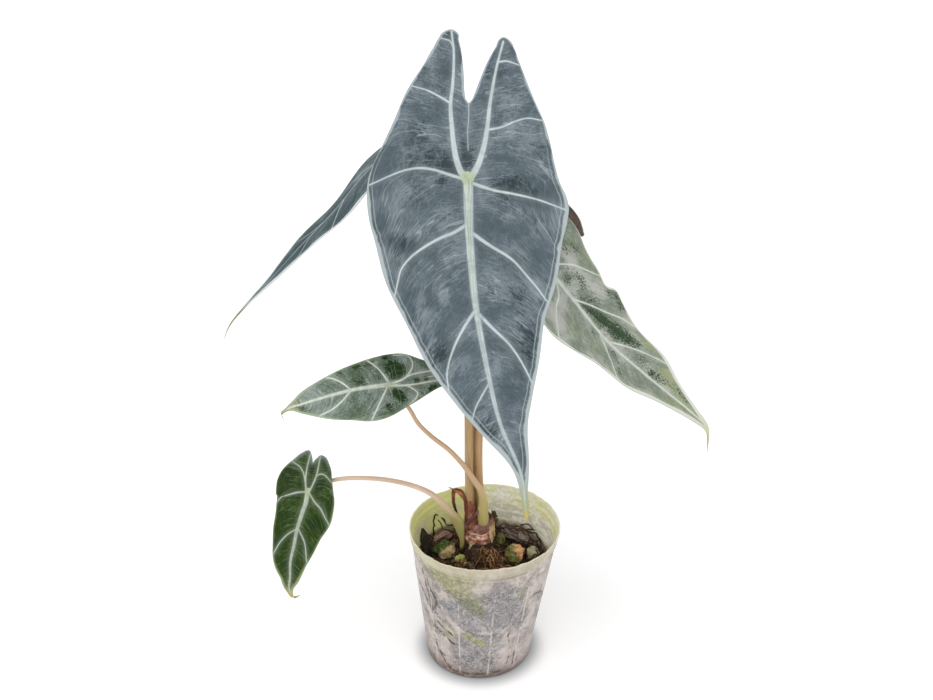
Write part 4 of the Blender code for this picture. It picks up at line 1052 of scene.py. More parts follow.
def scales():
    """Tan scales that peel off the corm."""
    heap = Heap()
    share = np.linspace(0, 1, 26)[:, None]
    across = np.linspace(-1, 1, 15)[None]
    for turn, high, length, wide, lift in SCALES:
        angle = math.radians(turn) + across * wide * (1 - share)**0.6 / 12 - 0.16 * share
        out = 12.3 + 0.5 * (1 - across**2) + lift * share**2.2
        z = high - length * share + 0 * across
        outer = np.stack([out * np.sin(angle), 6.6 - out * np.cos(angle), z], -1)[:, ::-1]
        inner = np.stack([(out - 0.5) * np.sin(angle), 6.6 - (out - 0.5) * np.cos(angle), z], -1)[:, ::-1]
        slab(heap, outer, inner, np.stack([12 * angle, 0 * z, z], -1)[:, ::-1])
    tan = strip_finish("scale_skin", rgb(158, 116, 78), rgb(214, 184, 132), rgb(232, 212, 168))
    heap.make("corm_scales", [tan])


def facets(ways, count, seed):
    """How far an angular stone reaches in each direction."""
    dice = random.Random(seed)
    planes = unit(np.array([[dice.gauss(0, 1) for _ in range(3)] for _ in range(count)]))
    away = np.array([dice.uniform(0.78, 0.98) for _ in range(count)])
    return np.minimum((away / np.maximum(ways @ planes.T, 0.05)).min(1), 1.12)


def taper(z):
    """The pot's outer radius at a height, without its ribs."""
    radius = BASE_RADIUS + (RIM_RADIUS - BASE_RADIUS) * z / POT_HEIGHT
    return radius + BAND_OUT * np.clip((z - BAND_BOTTOM) / BAND_STEP, 0, 1)


def pot_point(angle, z, radius):
    """Points of the pot, which leans and tilts a little and has a wavy rim."""
    high = z / POT_HEIGHT
    radius = radius + RIM_WAVE * np.sin(2 * angle + 0.5) * high**3 * np.minimum(radius / BASE_RADIUS, 1)
    x = radius * np.sin(angle)
    y = -radius * np.cos(angle)
    lift = RIM_TILT * x * high**3 + RIM_WAVE * np.sin(3 * angle + 1) * high**8
    return np.stack(np.broadcast_arrays(x + LEAN * high, y, z + lift), -1)


def soil_height(x, y):
    """The height of the uneven top of the bark mix."""
    centre_x, centre_y, high, spread = MOUND
    mound = high * np.exp(-((x - centre_x)**2 + (y - centre_y)**2) / spread**2)
    bumps = np.sin(0.31 * x + 1) * np.sin(0.27 * y + 2) + 0.6 * np.sin(0.53 * x - 0.41 * y)
    return SOIL_LEVEL + mound + SOIL_BUMP * bumps


def crumble(points, scale, seed=0.0):
    """Rough noise between about -1 and 1 at points in millimetres."""
    shift = Vector((seed, 2 * seed, -seed))
    return np.array([noise.turbulence(Vector(p) * scale + shift, 4, False) for p in points]) - 0.75


def soil_finish():
    """Dark, damp bark and coir."""
    n = Nodes("bark_mix")
    place = n.place()
    grain = n.noise(place, 420, 8, 0.7)
    lumps = n.noise(place, 110, 5, 0.6)
    cells = n.cells(place, 330)
    n.colour = n.mix(n.rise(grain, 0.3, 0.7), rgb(26, 19, 14), rgb(98, 70, 48))
    n.wash(rgb(122, 92, 66), lumps, 0.5, 0.7, 0, 0.7)
    n.wash(rgb(30, 26, 16), lumps, 0.3, 0.42, 0.7, 0)
    height = grain + cells
    return n.done(n.rise(grain, 0.3, 0.7, 0.95, 0.7), height, 1.2)


def soil():
    """The root ball, with a crumbly top."""
    rings, columns = 110, 300
    bottom = FLOOR + 0.35
    angles = np.linspace(0, 2 * math.pi, columns, endpoint=False)
    edge = pot_point(angles, SOIL_LEVEL, taper(SOIL_LEVEL) - WALL - SOIL_GAP)
    middle = np.array([LEAN * SOIL_LEVEL / POT_HEIGHT, 0, SOIL_LEVEL])
    share = np.linspace(0, 1, rings)[:, None, None]
    top = middle + (edge - middle) * share
    top[..., 2] = soil_height(top[..., 0], top[..., 1])
    rough = crumble(top.reshape(-1, 3), 0.16, 3.0).reshape(top.shape[:2])
    top[..., 2] += 2.6 * rough
    level = np.minimum((1 - share[..., 0]) * 14, 1)
    top[..., 2] = SOIL_LEVEL + (top[..., 2] - SOIL_LEVEL) * level
    low = bottom + BASE_ROUND
    sides = [pot_point(angles, z, taper(z) - WALL - SOIL_GAP) for z in np.linspace(SOIL_LEVEL - 4, low, 12)]
    sides.append(pot_point(angles, bottom, BASE_RADIUS - 1.4 * BASE_ROUND))
    centre = np.tile([0.0, 0.0, bottom], (columns, 1))
    points = np.concatenate([top, np.array(sides), centre[None]])
    heap = Heap()
    heap.add(points, quads(len(points), columns, True))
    heap.make("soil_ball", [soil_finish()], ("soil",))


def parts(shape):
    """The points and faces of a bmesh, which is then freed."""
    points = np.array([vertex.co[:] for vertex in shape.verts])
    faces = [[vertex.index for vertex in face.verts] for face in shape.faces]
    shape.free()
    return points, faces


def lump_points(centre, half, turn, rough, seed, fine, planes, grooves):
    """Points, faces and directions of a rough lump.

    Fine is the size of its small bumps in millimetres, planes the number of flat faces that it is cut by, and
    grooves how far the small bumps are drawn out along it.
    """
    shape = bmesh.new()
    bmesh.ops.create_icosphere(shape, subdivisions=5, radius=1)
    ways, faces = parts(shape)
    ways = unit(ways)
    dice = random.Random(seed)
    waves = [(np.array([dice.uniform(-2.6, 2.6) for _ in range(3)]), dice.uniform(0, 6)) for _ in range(5)]
    bump = sum(np.sin(ways @ wave + phase) for wave, phase in waves) / len(waves)
    reach = facets(ways, planes, seed) if planes else 1.0
    points = ways * ((1 + rough * bump) * reach)[:, None] * half
    points += ways * (fine * crumble(points * (1 / grooves, 1, 1), 0.26, seed))[:, None]
    cos, sin = math.cos(math.radians(turn)), math.sin(math.radians(turn))
    spin = np.array([[cos, -sin, 0], [sin, cos, 0], [0, 0, 1]])
    return points @ spin.T + centre, faces, ways @ spin.T


def speckled(name, colours, scale, depth, toward, stretch=1.0):
    """Rough matter: dark pits, two tones, the second on the side toward a direction (upward: a painted lit
    top), and light grains.
    """
    pits, first, second, light = colours
    n = Nodes(name)
    x, y, z = n.split(n.place())
    place = n.join(x, y, z * stretch)
    grain = n.noise(place, scale, 7, 0.65)
    patch = n.noise(place, scale * 0.3, 4, 0.55)
    parts = [part * amount for part, amount in zip(n.field("mark"), toward)]
    # The second tone toward a direction; where that points up, it is painted light on the top.
    side = n.stir(parts[0] + parts[1] + parts[2], patch, 3.0)
    n.colour = n.mix(n.rise(side, -0.1, 0.5), first, second)
    n.wash(pits, grain, 0.36, 0.5, 0.85, 0)
    n.wash(light, grain, 0.56, 0.72, 0, 0.8)
    return n.done(0.85, grain, depth, gloss=0.3)


# Each lump's colours (pits, first tone, second tone, grains), grain per metre, depth of the grain, where its
# second tone faces (where that is upward, the lighter second tone is a painted lit top), how much finer the
# grain is upward; then small bumps, flat faces and grooves as for lump_points.
LUMP_LOOKS = {
    "bark_right": ((rgb(30, 24, 16), rgb(62, 50, 36), rgb(172, 154, 142), rgb(214, 200, 190)), 300, 1.6,
                   (0.1, -0.3, 1.2), 4, 2.4, 9, 3.0),
    "bark_left": ((rgb(56, 40, 38), rgb(124, 92, 86), rgb(180, 146, 130), rgb(206, 180, 160)), 320, 1.6,
                  (0, 0, 0.7), 3, 2.0, 9, 3.0),
    "stone_right": ((rgb(52, 60, 28), rgb(118, 120, 62), rgb(236, 180, 126), rgb(250, 242, 220)), 260, 1.2,
                    (0.5, 0.1, 0.45), 1, 1.5, 12, 1.0),
    "stone_left": ((rgb(34, 42, 18), rgb(76, 100, 38), rgb(212, 186, 140), rgb(226, 220, 184)), 260, 1.2,
                   (1.1, -0.9, -0.4), 1, 1.3, 11, 1.0),
    "stone_small": ((rgb(74, 68, 48), rgb(158, 154, 120), rgb(186, 178, 144), rgb(222, 216, 186)), 300, 1.0,
                    (0, 0, 1), 1, 1.2, 9, 1.0),
    "moss_ball": ((rgb(34, 34, 16), rgb(86, 88, 46), rgb(128, 128, 76), rgb(166, 164, 108)), 380, 1.0,
                  (0, -0.2, 1), 1, 0.9, 0, 1.0),
    "moss_clump": ((rgb(36, 34, 18), rgb(84, 76, 44), rgb(96, 104, 44), rgb(150, 130, 90)), 420, 1.4,
                   (0, 0, 0.6), 1, 1.6, 0, 1.0),
    "chip_green": ((rgb(78, 84, 36), rgb(132, 146, 70), rgb(168, 178, 96), rgb(194, 200, 130)), 300, 0.5,
                   (0, 0, 1), 1, 0.4, 0, 1.0),
    "chip_pale": ((rgb(120, 124, 64), rgb(172, 180, 104), rgb(198, 204, 136), rgb(214, 216, 166)), 300, 0.5,
                  (0, 0, 1), 1, 0.4, 0, 1.0),
}


# Lumps that are only looks: a mossy tuft behind the corm and the dark mass of roots before it.
EXTRA_LUMPS = {
    "moss_tuft": ((11.8, 20, 112), (4.2, 4.0, 10.5), 8, 0.14, 44),
    "root_mound": ((4.5, -2.5, 88), (15.5, 12.5, 14.5), 0, 0.1, 52),
    "chip_stack": ((-17.5, 4.5, 87), (5.5, 5.0, 7.5), 30, 0.16, 61),
}


def lump(name, skin, shape, look, slot, nodes=()):
    """One rough lump, with a look as in LUMP_LOOKS."""
    points, faces, ways = lump_points(*shape, *look[5:])
    heap = Heap()
    heap.add(points, faces, mark=ways)
    heap.make(name, [speckled(skin + "_skin", *look[:5])], nodes)


def lumps():
    """The bark pieces, stones and mossy lumps that stand in the mix."""
    slots = {"bark": "bark", "stone": "stone", "moss": "moss", "chip": "moss"}
    for name, shape in LUMPS.items():
        lump(name + "_rough", name, shape, LUMP_LOOKS[name], slots[name.split("_")[0]], (name,))
    brown = (rgb(18, 13, 9), rgb(52, 37, 25), rgb(84, 60, 40), rgb(128, 96, 66))
    green = (rgb(34, 34, 16), rgb(88, 78, 48), rgb(112, 112, 54), rgb(166, 146, 100))
    for name, shape in EXTRA_LUMPS.items():
        colours, slot = (green, "moss") if "moss" in name else (brown, "soil")
        # Their second tone faces up: a painted lit top.
        lump(name, name, shape, (colours, 360, 1.6, (0, 0, 0.6), 1.0, 3.2, 0, 1.0), slot)


def on_soil(dice, near, far):
    """A random place on the mix, between two distances from its middle."""
    angle = dice.uniform(0, 2 * math.pi)
    out = math.sqrt(dice.uniform(near**2, far**2))
    x, y = LEAN * SOIL_LEVEL / POT_HEIGHT + out * math.cos(angle), out * math.sin(angle)
    return np.array([x, y, float(soil_height(x, y))])


# How many loose pieces there are, and how many of the first of them are heaped or combed.
CHIP_COUNT = 420
HEAPED_COUNT = 120
FIBRE_COUNT = 300
COMBED_COUNT = 80
FINE_ROOT_COUNT = 60


def chips():
    """Loose bark chips on the mix: broken flat blocks, mostly lying down, heaped round the corm."""
    dice = random.Random(5)
    heap = Heap()
    shape = bmesh.new()
    bmesh.ops.create_cube(shape, size=2)
    bmesh.ops.subdivide_edges(shape, edges=shape.edges[:], cuts=3, use_grid_fill=True)
    block, faces = parts(shape)
    ball = block / np.maximum(np.linalg.norm(block, axis=1, keepdims=True), 1)
    round_block = ball * 0.35 + block * 0.65
    for i in range(CHIP_COUNT):
        heaped = i < HEAPED_COUNT
        size = dice.uniform(1.4, 4.4)
        half = np.array([size, size * dice.uniform(0.4, 0.8), size * dice.uniform(0.2, 0.5)])
        seed = dice.uniform(0, 50)
        points = round_block * half
        points += unit(points) * (0.3 * size * crumble(points / size, 1.4, seed))[:, None]
        turn = Matrix.Rotation(dice.uniform(0, 6.3), 3, "Z") @ Matrix.Rotation(dice.gauss(0, 0.5), 3, "X")
        turn = np.array(turn @ Matrix.Rotation(dice.gauss(0, 0.45), 3, "Y"))
        spot = on_soil(dice, 12.5, 24 if heaped else SOIL_REACH)
        spot[2] += dice.uniform(1.0, 6.0) if heaped else dice.uniform(0.0, 2.2)
        heap.add(points @ turn.T + spot, faces, mark=(dice.random(), dice.random(), seed))
    n = Nodes("bark_chips_skin")
    tone, warm, _ = n.field("mark")
    x, y, z = n.split(n.place())
    grain = n.noise(n.join(x, y, z * 3), 420, 7, 0.7)
    n.colour = n.mix(n.rise(tone, 0.3, 1.0), rgb(54, 38, 28), rgb(142, 110, 82))
    n.wash(rgb(156, 104, 76), warm, 0.6, 1.0, 0, 0.7)
    n.wash(rgb(98, 98, 58), warm, 0.0, 0.24, 0.8, 0)
    n.wash(rgb(28, 20, 14), grain, 0.4, 0.5, 0.8, 0)
    n.wash(rgb(206, 176, 140), grain, 0.56, 0.66, 0, 0.7)
    heap.make("bark_chips", [n.done(0.85, grain, 0.8, gloss=0.3)])


# Roots and twigs on the mix, each as a half width and its points.
ROOTS = [
    (0.9, [(14, 23, 101), (18, 24, 101), (24, 22, 101.5), (32.5, 23, 100.5), (42.4, 19.5, 99),
           (46.5, 18.5, 97), (49.5, 16, 94), (50.5, 11, 90), (49.5, 7, 86)]),
    (0.7, [(34, 24.5, 102), (38, 25.7, 103), (42, 25, 102.5), (45, 22, 99)]),
    (0.7, [(45, 15, 93), (48.5, 15.2, 94), (52, 14.6, 93)]),
    (0.6, [(30, 21, 100.5), (36, 20, 100.5), (42, 20, 101), (45, 20, 100)]),
    (0.8, [(-37.3, 33.1, 87), (-36.8, 34, 94), (-36.4, 34, 98), (-37.3, 34.7, 102), (-35.5, 34.5, 105.5),
           (-33, 34, 106)]),
    (0.7, [(-30.8, 34.7, 103), (-28, 32.6, 99.5), (-24.3, 30.8, 98), (-19.8, 31.3, 97), (-13, 30, 97)]),
    (0.5, [(-34, 33, 102), (-31, 31, 99), (-28, 30, 95), (-22, 29, 94), (-18, 27, 96)]),
    (0.8, [(-43.5, 26, 94), (-42.5, 22, 93), (-40, 14, 90), (-37, 6, 88), (-33, -4, 86)]),
    (0.6, [(-45, 22, 92), (-42, 23, 93), (-40, 25, 93), (-37, 24, 90)]),
    (0.5, [(-40, 24, 92), (-37, 12, 91), (-33, 2, 89), (-28, -8, 87)]),
    (0.8, [(-24, 30, 93), (-19, 26, 94.5), (-13, 24, 92), (-8, 22, 88)]),
    (0.6, [(-47, 8, 84), (-42, 0, 86), (-36, -8, 86), (-30, -14, 84)]),
    (0.7, [(6, 20, 94), (12, 24, 97), (17, 28, 98), (21, 31, 94)]),
    (0.5, [(12, 21, 99), (18, 20, 99.5), (25, 17, 98), (33, 16, 96), (40, 13, 93)]),
    (0.6, [(16, 27, 101), (22, 27, 102), (28, 24, 101), (33, 26, 101), (39, 22, 99), (44, 12, 93)]),
    (0.5, [(20, 24, 101), (24, 26, 101.5), (27, 21, 100), (31, 19, 98.5), (34, 23, 100), (38, 17, 97)]),
    (0.5, [(44, -6, 84), (46, 2, 88), (45, 8, 92), (47, 14, 94)]),
    (0.5, [(38, 10, 88), (43, 8, 92), (47, 4, 91), (49, -2, 87)])]


def root_finish(name, dark, light):
    """Thin roots and fibres: their tone changes from place to place, with dark specks."""
    n = Nodes(name)
    grain = n.noise(n.place(), 500, 5, 0.65)
    tone = n.noise(n.place(), 60, 2, 0.5)
    n.colour = n.mix(n.rise(tone, 0.3, 0.7), dark, light)
    n.wash(tuple(c * 0.3 for c in dark), grain, 0.4, 0.56, 0.6, 0)
    return n.done(0.7, grain, 0.4, gloss=0.3)


def roots():
    """Twigs and roots that lie on the mix, and the fine dark roots at the corm's foot."""
    dice = random.Random(9)
    heap = Heap()
    for half, line in ROOTS:
        path = evenly(line, 3.0)
        bent = path + [[dice.gauss(0, 0.45) for _ in range(3)] for _ in path]
        keys = [(x, y, z, half * dice.uniform(0.6, 1.2), half * dice.uniform(0.6, 1.0)) for x, y, z in bent]
        keys[-1] = (*bent[-1], half * 0.4, half * 0.4)
        add_tube(heap, keys, 0.6, 10, 0, ridged(2.3, 0.08, 0.14, dice.uniform(0, 6)))
    for _ in range(FINE_ROOT_COUNT):
        angle = dice.uniform(0, 2 * math.pi)
        way = np.array([math.sin(angle), -math.cos(angle), 0])
        foot = np.array([0, 7, dice.uniform(88, 99)]) + way * 11.2
        reach = dice.uniform(3, 9)
        side = np.array([math.cos(angle), math.sin(angle), 0]) * dice.uniform(-3, 3)
        end = foot + way * reach + side
        end[2] = soil_height(end[0], end[1]) - 0.5
        middle = (foot + end) / 2 + way * 1.2 + (0, 0, dice.uniform(0.3, 2.2))
        thick = dice.uniform(0.3, 0.75)
        add_tube(heap, [(*foot, thick, thick), (*middle, thick, thick), (*end, 0.2, 0.2)], 0.8, 7)
    heap.make("dark_roots", [root_finish("root_skin", rgb(46, 35, 25), rgb(86, 68, 50))])


def combed_fibre(dice, mound):
    """Points of a fibre that runs down the front of the root mound."""
    (middle_x, middle_y, base), (wide, deep, high) = mound
    x, y = dice.uniform(1, 19), dice.uniform(-14, -4)
    drift, length, lift = dice.gauss(0.3, 0.8), dice.uniform(3, 10), dice.uniform(0.1, 1.2)
    keys = []
    for share in (0, 0.35, 0.7, 1):
        px, py = x + drift * length * share + math.sin(4 * share + x), y - length * share * 0.75
        inside = 1 - ((px - middle_x) / (wide + 1))**2 - ((py - middle_y) / (deep + 1))**2
        top = base + (high + 0.5) * math.sqrt(max(inside, 0))
        z = max(top, float(soil_height(px, py))) + lift * (0.4 + share)
        keys.append((px, py, z, 0.26, 0.26))
    return keys


def stray_fibre(dice):
    """Points of a fibre that lies anywhere on the mix."""
    start = on_soil(dice, 10, SOIL_REACH - 3)
    angle = dice.uniform(0, 2 * math.pi)
    way = np.array([math.cos(angle), math.sin(angle)])
    side = np.array([-way[1], way[0]]) * dice.gauss(0, 1.0)
    length, lift = dice.uniform(4, 13), dice.uniform(0.6, 3.0)
    keys = []
    for share in (0, 0.35, 0.7, 1):
        px, py = start[:2] + way * length * share + side * math.sin(3 * share)
        if math.hypot(px - 3, py) < SOIL_REACH:
            z = float(soil_height(px, py)) + lift * math.sin(0.5 + 2.4 * share) + 0.3
            keys.append((px, py, z, 0.22, 0.22))
    return keys


def fibres():
    """Coir fibres: a combed tuft down the front of the root mass, and strays all over the mix."""
    dice = random.Random(12)
    heap = Heap()
    for i in range(FIBRE_COUNT):
        keys = combed_fibre(dice, EXTRA_LUMPS["root_mound"][:2]) if i < COMBED_COUNT else stray_fibre(dice)
        if len(keys) > 2:
            keys[-1] = (*keys[-1][:3], 0.1, 0.1)
            add_tube(heap, keys, 1.2, 6, int(dice.random() > 0.4))
    dark = root_finish("coir_dark_skin", rgb(48, 32, 20), rgb(96, 66, 42))
    pale = root_finish("coir_skin", rgb(120, 80, 50), rgb(206, 158, 110))
    heap.make("coir_fibres", [pale, dark])


def strip_finish(name, deep, middle, light, dark_from=None):
    """Dry papery tissue with lengthwise fibres; past dark_from millimetres it is blackened."""
    n = Nodes(name)
    x, y, along = n.field("mark")
    fibre = n.noise(n.join(x, y, along * 0.06), 2.4, 6, 0.65)
    blotch = n.noise(n.place(), 160, 4, 0.6)
    n.colour = n.mix(n.rise(fibre, 0.36, 0.6), deep, middle)
    n.wash(light, blotch, 0.5, 0.66, 0, 0.7)
    if dark_from:
        n.wash(rgb(26, 14, 12), along, dark_from - 5, dark_from + 4, 0, 0.92)
    return n.done(0.6, fibre, 0.5, gloss=0.4)


# The thin dry tail of the dead sheath, off to the left.
TAIL = [(-12, -4, 148, 1.7, 0.5), (-15.5, -4.6, 153, 1.5, 0.5), (-19.5, -5, 156, 0.7, 0.35),
        (-24, -5.4, 159, 0.2, 0.15)]


def strips():
    """The dead strap at the foot of the stems with its tail, and the dark scrap against the pot's wall."""
    red = strip_finish("dry_red", rgb(78, 32, 26), rgb(122, 62, 48), rgb(160, 100, 80), 52)
    tan = strip_finish("dry_tail_skin", rgb(120, 62, 40), rgb(176, 112, 72), rgb(196, 140, 96), 13)
    dark = strip_finish("dry_dark", rgb(20, 16, 13), rgb(46, 36, 28), rgb(84, 72, 60))
    for name, keys, step, sides, rough, finish, slot, nodes in (
            ("dry_sheath_curled", STRAP, 0.8, 24, 0.06, red, "sheath", ("dry_sheath",)),
            ("dry_tail", TAIL, 0.5, 16, 0.06, tan, "sheath", ()),
            ("leaf_scrap_curled", SCRAP, 0.8, 24, 0.08, dark, "bark", ("leaf_scrap",))):
        heap = Heap()
        add_tube(heap, keys, step, sides, 0, ridged(3.0, 0.03, rough, 1.0))
        heap.make(name, [finish], nodes)


# Marks on the pot's wall, as lines of (degrees round from the front, height), with half width and strength.
ROOT_MARKS = [
    (1.3, 0.9, [(-77, 79), (-65, 75), (-54, 65), (-41, 58)]),
    (1.0, 0.7, [(-65, 53), (-58, 54)]),
    (1.2, 0.9, [(-51, 47), (-40, 42), (-27, 35)]),
    (1.0, 0.8, [(-45, 53), (-37, 49), (-28, 45)]),
    (1.2, 0.8, [(-46, 20), (-39, 11), (-29, 4)]),
    (1.1, 0.8, [(-52, 33), (-46, 20), (-40, 18)]),
    (0.9, 0.5, [(27, 72), (24, 59), (19, 55)]),
    (0.8, 0.5, [(43, 104), (37, 97)]),
    (0.9, 0.7, [(37, 23), (38, 9)]),
    (0.8, 0.7, [(43, 20), (43, 10)]),
    (0.8, 0.6, [(31, 20), (29, 9)]),
    (1.4, 0.35, [(-18, 55), (-6, 51), (3, 49), (15, 50)]),
    (1.2, 0.35, [(7, 51), (18, 45)]),
    (1.2, 0.7, [(-55, 96), (-50, 84), (-44, 76), (-46, 66)]),
    (1.3, 0.6, [(-60, 100), (-56, 86), (-52, 70), (-50, 60)]),
    (1.4, 0.6, [(-29, 6), (-11, 5), (6, 6), (24, 6)]),
    (1.0, 0.6, [(30, 55), (26, 46), (28, 38)])]
GREEN_MARKS = [(-22, 99, 14, 0.6), (-15, 90, 9, 0.4), (-7, 80, 8, 1.2), (-2, 73, 4, 0.6),
               (-13, 47, 2.8, 1.4), (-9, 45, 2.8, 1.5), (-4, 42, 2.8, 1.5), (1, 39, 2.6, 1.4),
               (-37, 50, 7, 0.6), (-30, 46, 5, 0.6), (-24, 100, 9, 0.9), (-38, 105, 8, 1.0),
               (-12, 106, 7, 0.8), (35, 89, 9, 0.4), (30, 84, 5, 0.4), (47, 60, 6, 0.35),
               (150, 92, 14, 0.7), (-130, 70, 12, 0.6), (110, 60, 10, 0.5), (-170, 96, 12, 0.8),
               (80, 98, 12, 0.6)]
GREY_MARKS = [(-3, 64, 18, 1.0), (13, 92, 13, 0.9), (-31, 77, 13, 0.8), (30, 62, 14, 0.8),
              (-20, 30, 14, 0.8), (10, 30, 16, 0.6), (20, 75, 14, 0.8), (-15, 14, 12, 0.7),
              (15, 12, 12, 0.6), (90, 70, 18, 0.8), (-110, 84, 16, 0.8), (170, 60, 20, 0.8),
              (-150, 34, 16, 0.6), (120, 30, 14, 0.6)]


def worms(n, place, scale, thin):
    """Thin winding lines where cloudy noise crosses its middle value."""
    cloud = n.noise(place, scale, 5, 0.6, 0.9)
    return n.rise(abs(cloud - 0.5), 0, thin, 1, 0)


def around(marks):
    """Marks in degrees turned into millimetres round the pot."""
    return [(math.radians(turn) * MARK_RADIUS, *rest) for turn, *rest in marks]


def wall_fields(angles, heights):
    """Fields of the pot's wall: place round and up it with the ribs, and stains by roots, algae and lime."""
    z, angle = np.meshgrid(heights, angles, indexing="ij")
    turned = (angle + math.pi) % (2 * math.pi) - math.pi
    spots = np.column_stack([turned.ravel() * MARK_RADIUS, z.ravel()])
    root = np.zeros(len(spots))
    for half, amount, line in ROOT_MARKS:
        for shift, share in ((0, 1.0), (125, 0.6), (-120, 0.7)):
            curve = np.array(around([((turn + shift + 180) % 360 - 180, height) for turn, height in line]))
            if abs(np.diff(curve[:, 0])).max(initial=0) < 100:
                gap = abs(nearest(spots, evenly(curve, 1.5))[0])
                root = np.maximum(root, amount * share * np.exp(-(gap / (half * 1.3))**2))
    place = np.column_stack([spots, np.zeros(len(spots))])
    stain = np.column_stack([root, blobs(spots, around(GREEN_MARKS)), blobs(spots, around(GREY_MARKS))])
    return place, stain


def band_marks(n, around_it, up, cloud):
    """The rim band's yellowed plastic, mossier on the left, with lines at its step and a worn lip."""
    n.wash(rgb(194, 185, 162), up, BAND_BOTTOM - 2, BAND_BOTTOM + 2, 0, 0.55)
    moss_side = n.rise(n.stir(around_it, cloud, 90), -46, 0, 0.45, 0)
    n.coat(moss_side * n.rise(up, BAND_BOTTOM - 6, BAND_BOTTOM), rgb(192, 190, 156))
    for level, strength in ((BAND_BOTTOM - 0.8, 0.6), (BAND_BOTTOM - 5, 0.4), (BAND_BOTTOM + 2.2, 0.3)):
        line = n.rise(abs(up - level), 0.2, 0.9, strength, 0)
        n.coat(line * n.rise(cloud, 0.4, 0.56, 0.2, 1.0), rgb(134, 128, 88))
    n.wash(rgb(214, 210, 184), up + cloud * 3, POT_HEIGHT, POT_HEIGHT + 1.8, 0, 0.5)


def pot_outside():
    """Thin cloudy plastic: lilac grey, with roots and mix showing through, algae and lime."""
    n = Nodes("pot_outside")
    around_it, up, rib = n.field("wall")
    root, green, grey = n.field("stain")
    place = n.place()
    fine = n.noise(place, 560, 6, 0.7)
    speck = n.noise(place, 230, 7, 0.72, 0.6)
    cloud = n.noise(place, 75, 8, 0.7)
    n.colour = n.mix(n.rise(cloud, 0.38, 0.62), rgb(197, 186, 179), rgb(150, 141, 136))
    n.wash(rgb(206, 196, 190), n.noise(place, 30, 3, 0.5), 0.46, 0.62, 0, 0.55)
    n.wash(rgb(168, 146, 138), up, 8, 40, 0.4, 0)
    n.wash(rgb(216, 207, 203), speck, 0.5, 0.62, 0, 0.4)
    n.wash(rgb(130, 120, 118), speck, 0.38, 0.48, 0.5, 0)
    n.wash(rgb(126, 117, 116), fine, 0.38, 0.5, 0.3, 0)
    dust = n.rise(n.stir(grey, cloud, 3.2), 0.1, 1.0)
    lines = n.math("MAXIMUM", worms(n, place, 110, 0.028), worms(n, place, 260, 0.045))
    lines = lines * n.rise(fine, 0.36, 0.52, 0.3, 1.0)
    n.coat(dust * 0.6, rgb(134, 135, 140))
    n.coat(dust * n.rise(speck, 0.36, 0.46, 0.7, 0), rgb(84, 88, 94))
    n.coat(lines * (dust * 0.65 + 0.2), rgb(72, 75, 78))
    n.coat(dust * n.rise(fine, 0.54, 0.66, 0, 0.7), rgb(206, 202, 200))
    algae = n.rise(n.stir(green, cloud, 3.4), 0.1, 1.3, 0, 0.8)
    tint = n.mix(n.rise(up, 84, 98), rgb(118, 126, 74), rgb(166, 164, 110))
    tint = n.mix(n.rise(up, 50, 62), rgb(176, 178, 84), tint)
    n.coat(algae * n.rise(speck, 0.38, 0.6, 0.2, 0.95), tint)
    n.coat(algae * (lines * 0.8), rgb(74, 84, 44))
    streak = root * n.rise(n.noise(place, 240, 5, 0.7), 0.38, 0.54)
    n.wash(rgb(76, 62, 50), streak, 0.1, 0.6, 0, 0.9)
    foot = n.rise(n.stir(up, cloud, 34), 3, 12, 0.85, 0)
    n.coat(foot * n.rise(speck, 0.42, 0.54, 0.1, 1.0), rgb(98, 80, 70))
    band_marks(n, around_it, up, cloud)
    worn = rib * n.rise(n.noise(place, 130, 4, 0.6), 0.36, 0.54, 0.15, 0.8)
    n.wash(rgb(210, 201, 196), worn, 0.2, 0.7, 0, 0.6)
    height = fine + (speck + cloud)
    return n.done(n.rise(cloud, 0.3, 0.7, 0.4, 0.65), height, 0.3, gloss=0.3, soft=0.5, reach=4.0)


def pot_inside():
    """The pot's inner wall: pale and cloudy, lighter on the right with painted light coming through the wall,
    with green algae on the left and along the rim band's step.
    """
    n = Nodes("pot_inside")
    around_it, up, _ = n.field("wall")
    place = n.place()
    x, y, z = n.split(place)
    cloud = n.noise(place, 62, 6, 0.65)
    wisps = n.noise(n.join(x, y, z * 3), 90, 5, 0.65)
    fine = n.noise(place, 300, 7, 0.72)
    n.colour = n.mix(n.rise(fine, 0.36, 0.64), rgb(216, 211, 176), rgb(240, 236, 212))
    # Painted light: the right side of the inner wall is lighter, for the light that comes through the thin
    # wall there.
    n.wash(rgb(255, 252, 240), around_it, 20, 60, 0, 0.8)
    grey = n.rise(wisps, 0.44, 0.56) * n.rise(up, BAND_BOTTOM - 8, BAND_BOTTOM, 0.7, 0.2)
    n.coat(grey, rgb(200, 195, 188))
    n.wash(rgb(168, 163, 148), fine, 0.5, 0.62, 0, 0.3)
    n.coat(worms(n, place, 150, 0.03) * 0.25, rgb(136, 134, 116))
    algae = n.rise(abs(around_it + 125), 20, 150, 0.45, -0.6)
    algae = n.stir(n.stir(algae, cloud, 2.4), wisps, 3.0)
    algae = algae + n.rise(up, BAND_BOTTOM - 2, BAND_BOTTOM + 2) * 0.9
    n.wash(rgb(228, 229, 172), algae, 0.0, 0.9, 0, 0.85)
    for level, strength in ((BAND_BOTTOM, 0.7), (BAND_BOTTOM + 5, 0.35), (BAND_BOTTOM - 6, 0.35)):
        line = n.rise(abs(up - level), 0.4, 2.0, strength, 0)
        n.coat(line * n.rise(cloud, 0.38, 0.52), rgb(202, 208, 112))
    n.wash(rgb(128, 114, 88), up + cloud * 14, 94, 99, 0.8, 0)
    n.wash(rgb(220, 220, 178), up, POT_HEIGHT - 2, POT_HEIGHT, 0, 0.6)
    return n.done(0.5, fine + cloud, 0.2, gloss=0.3, soft=0.8, reach=3.0)


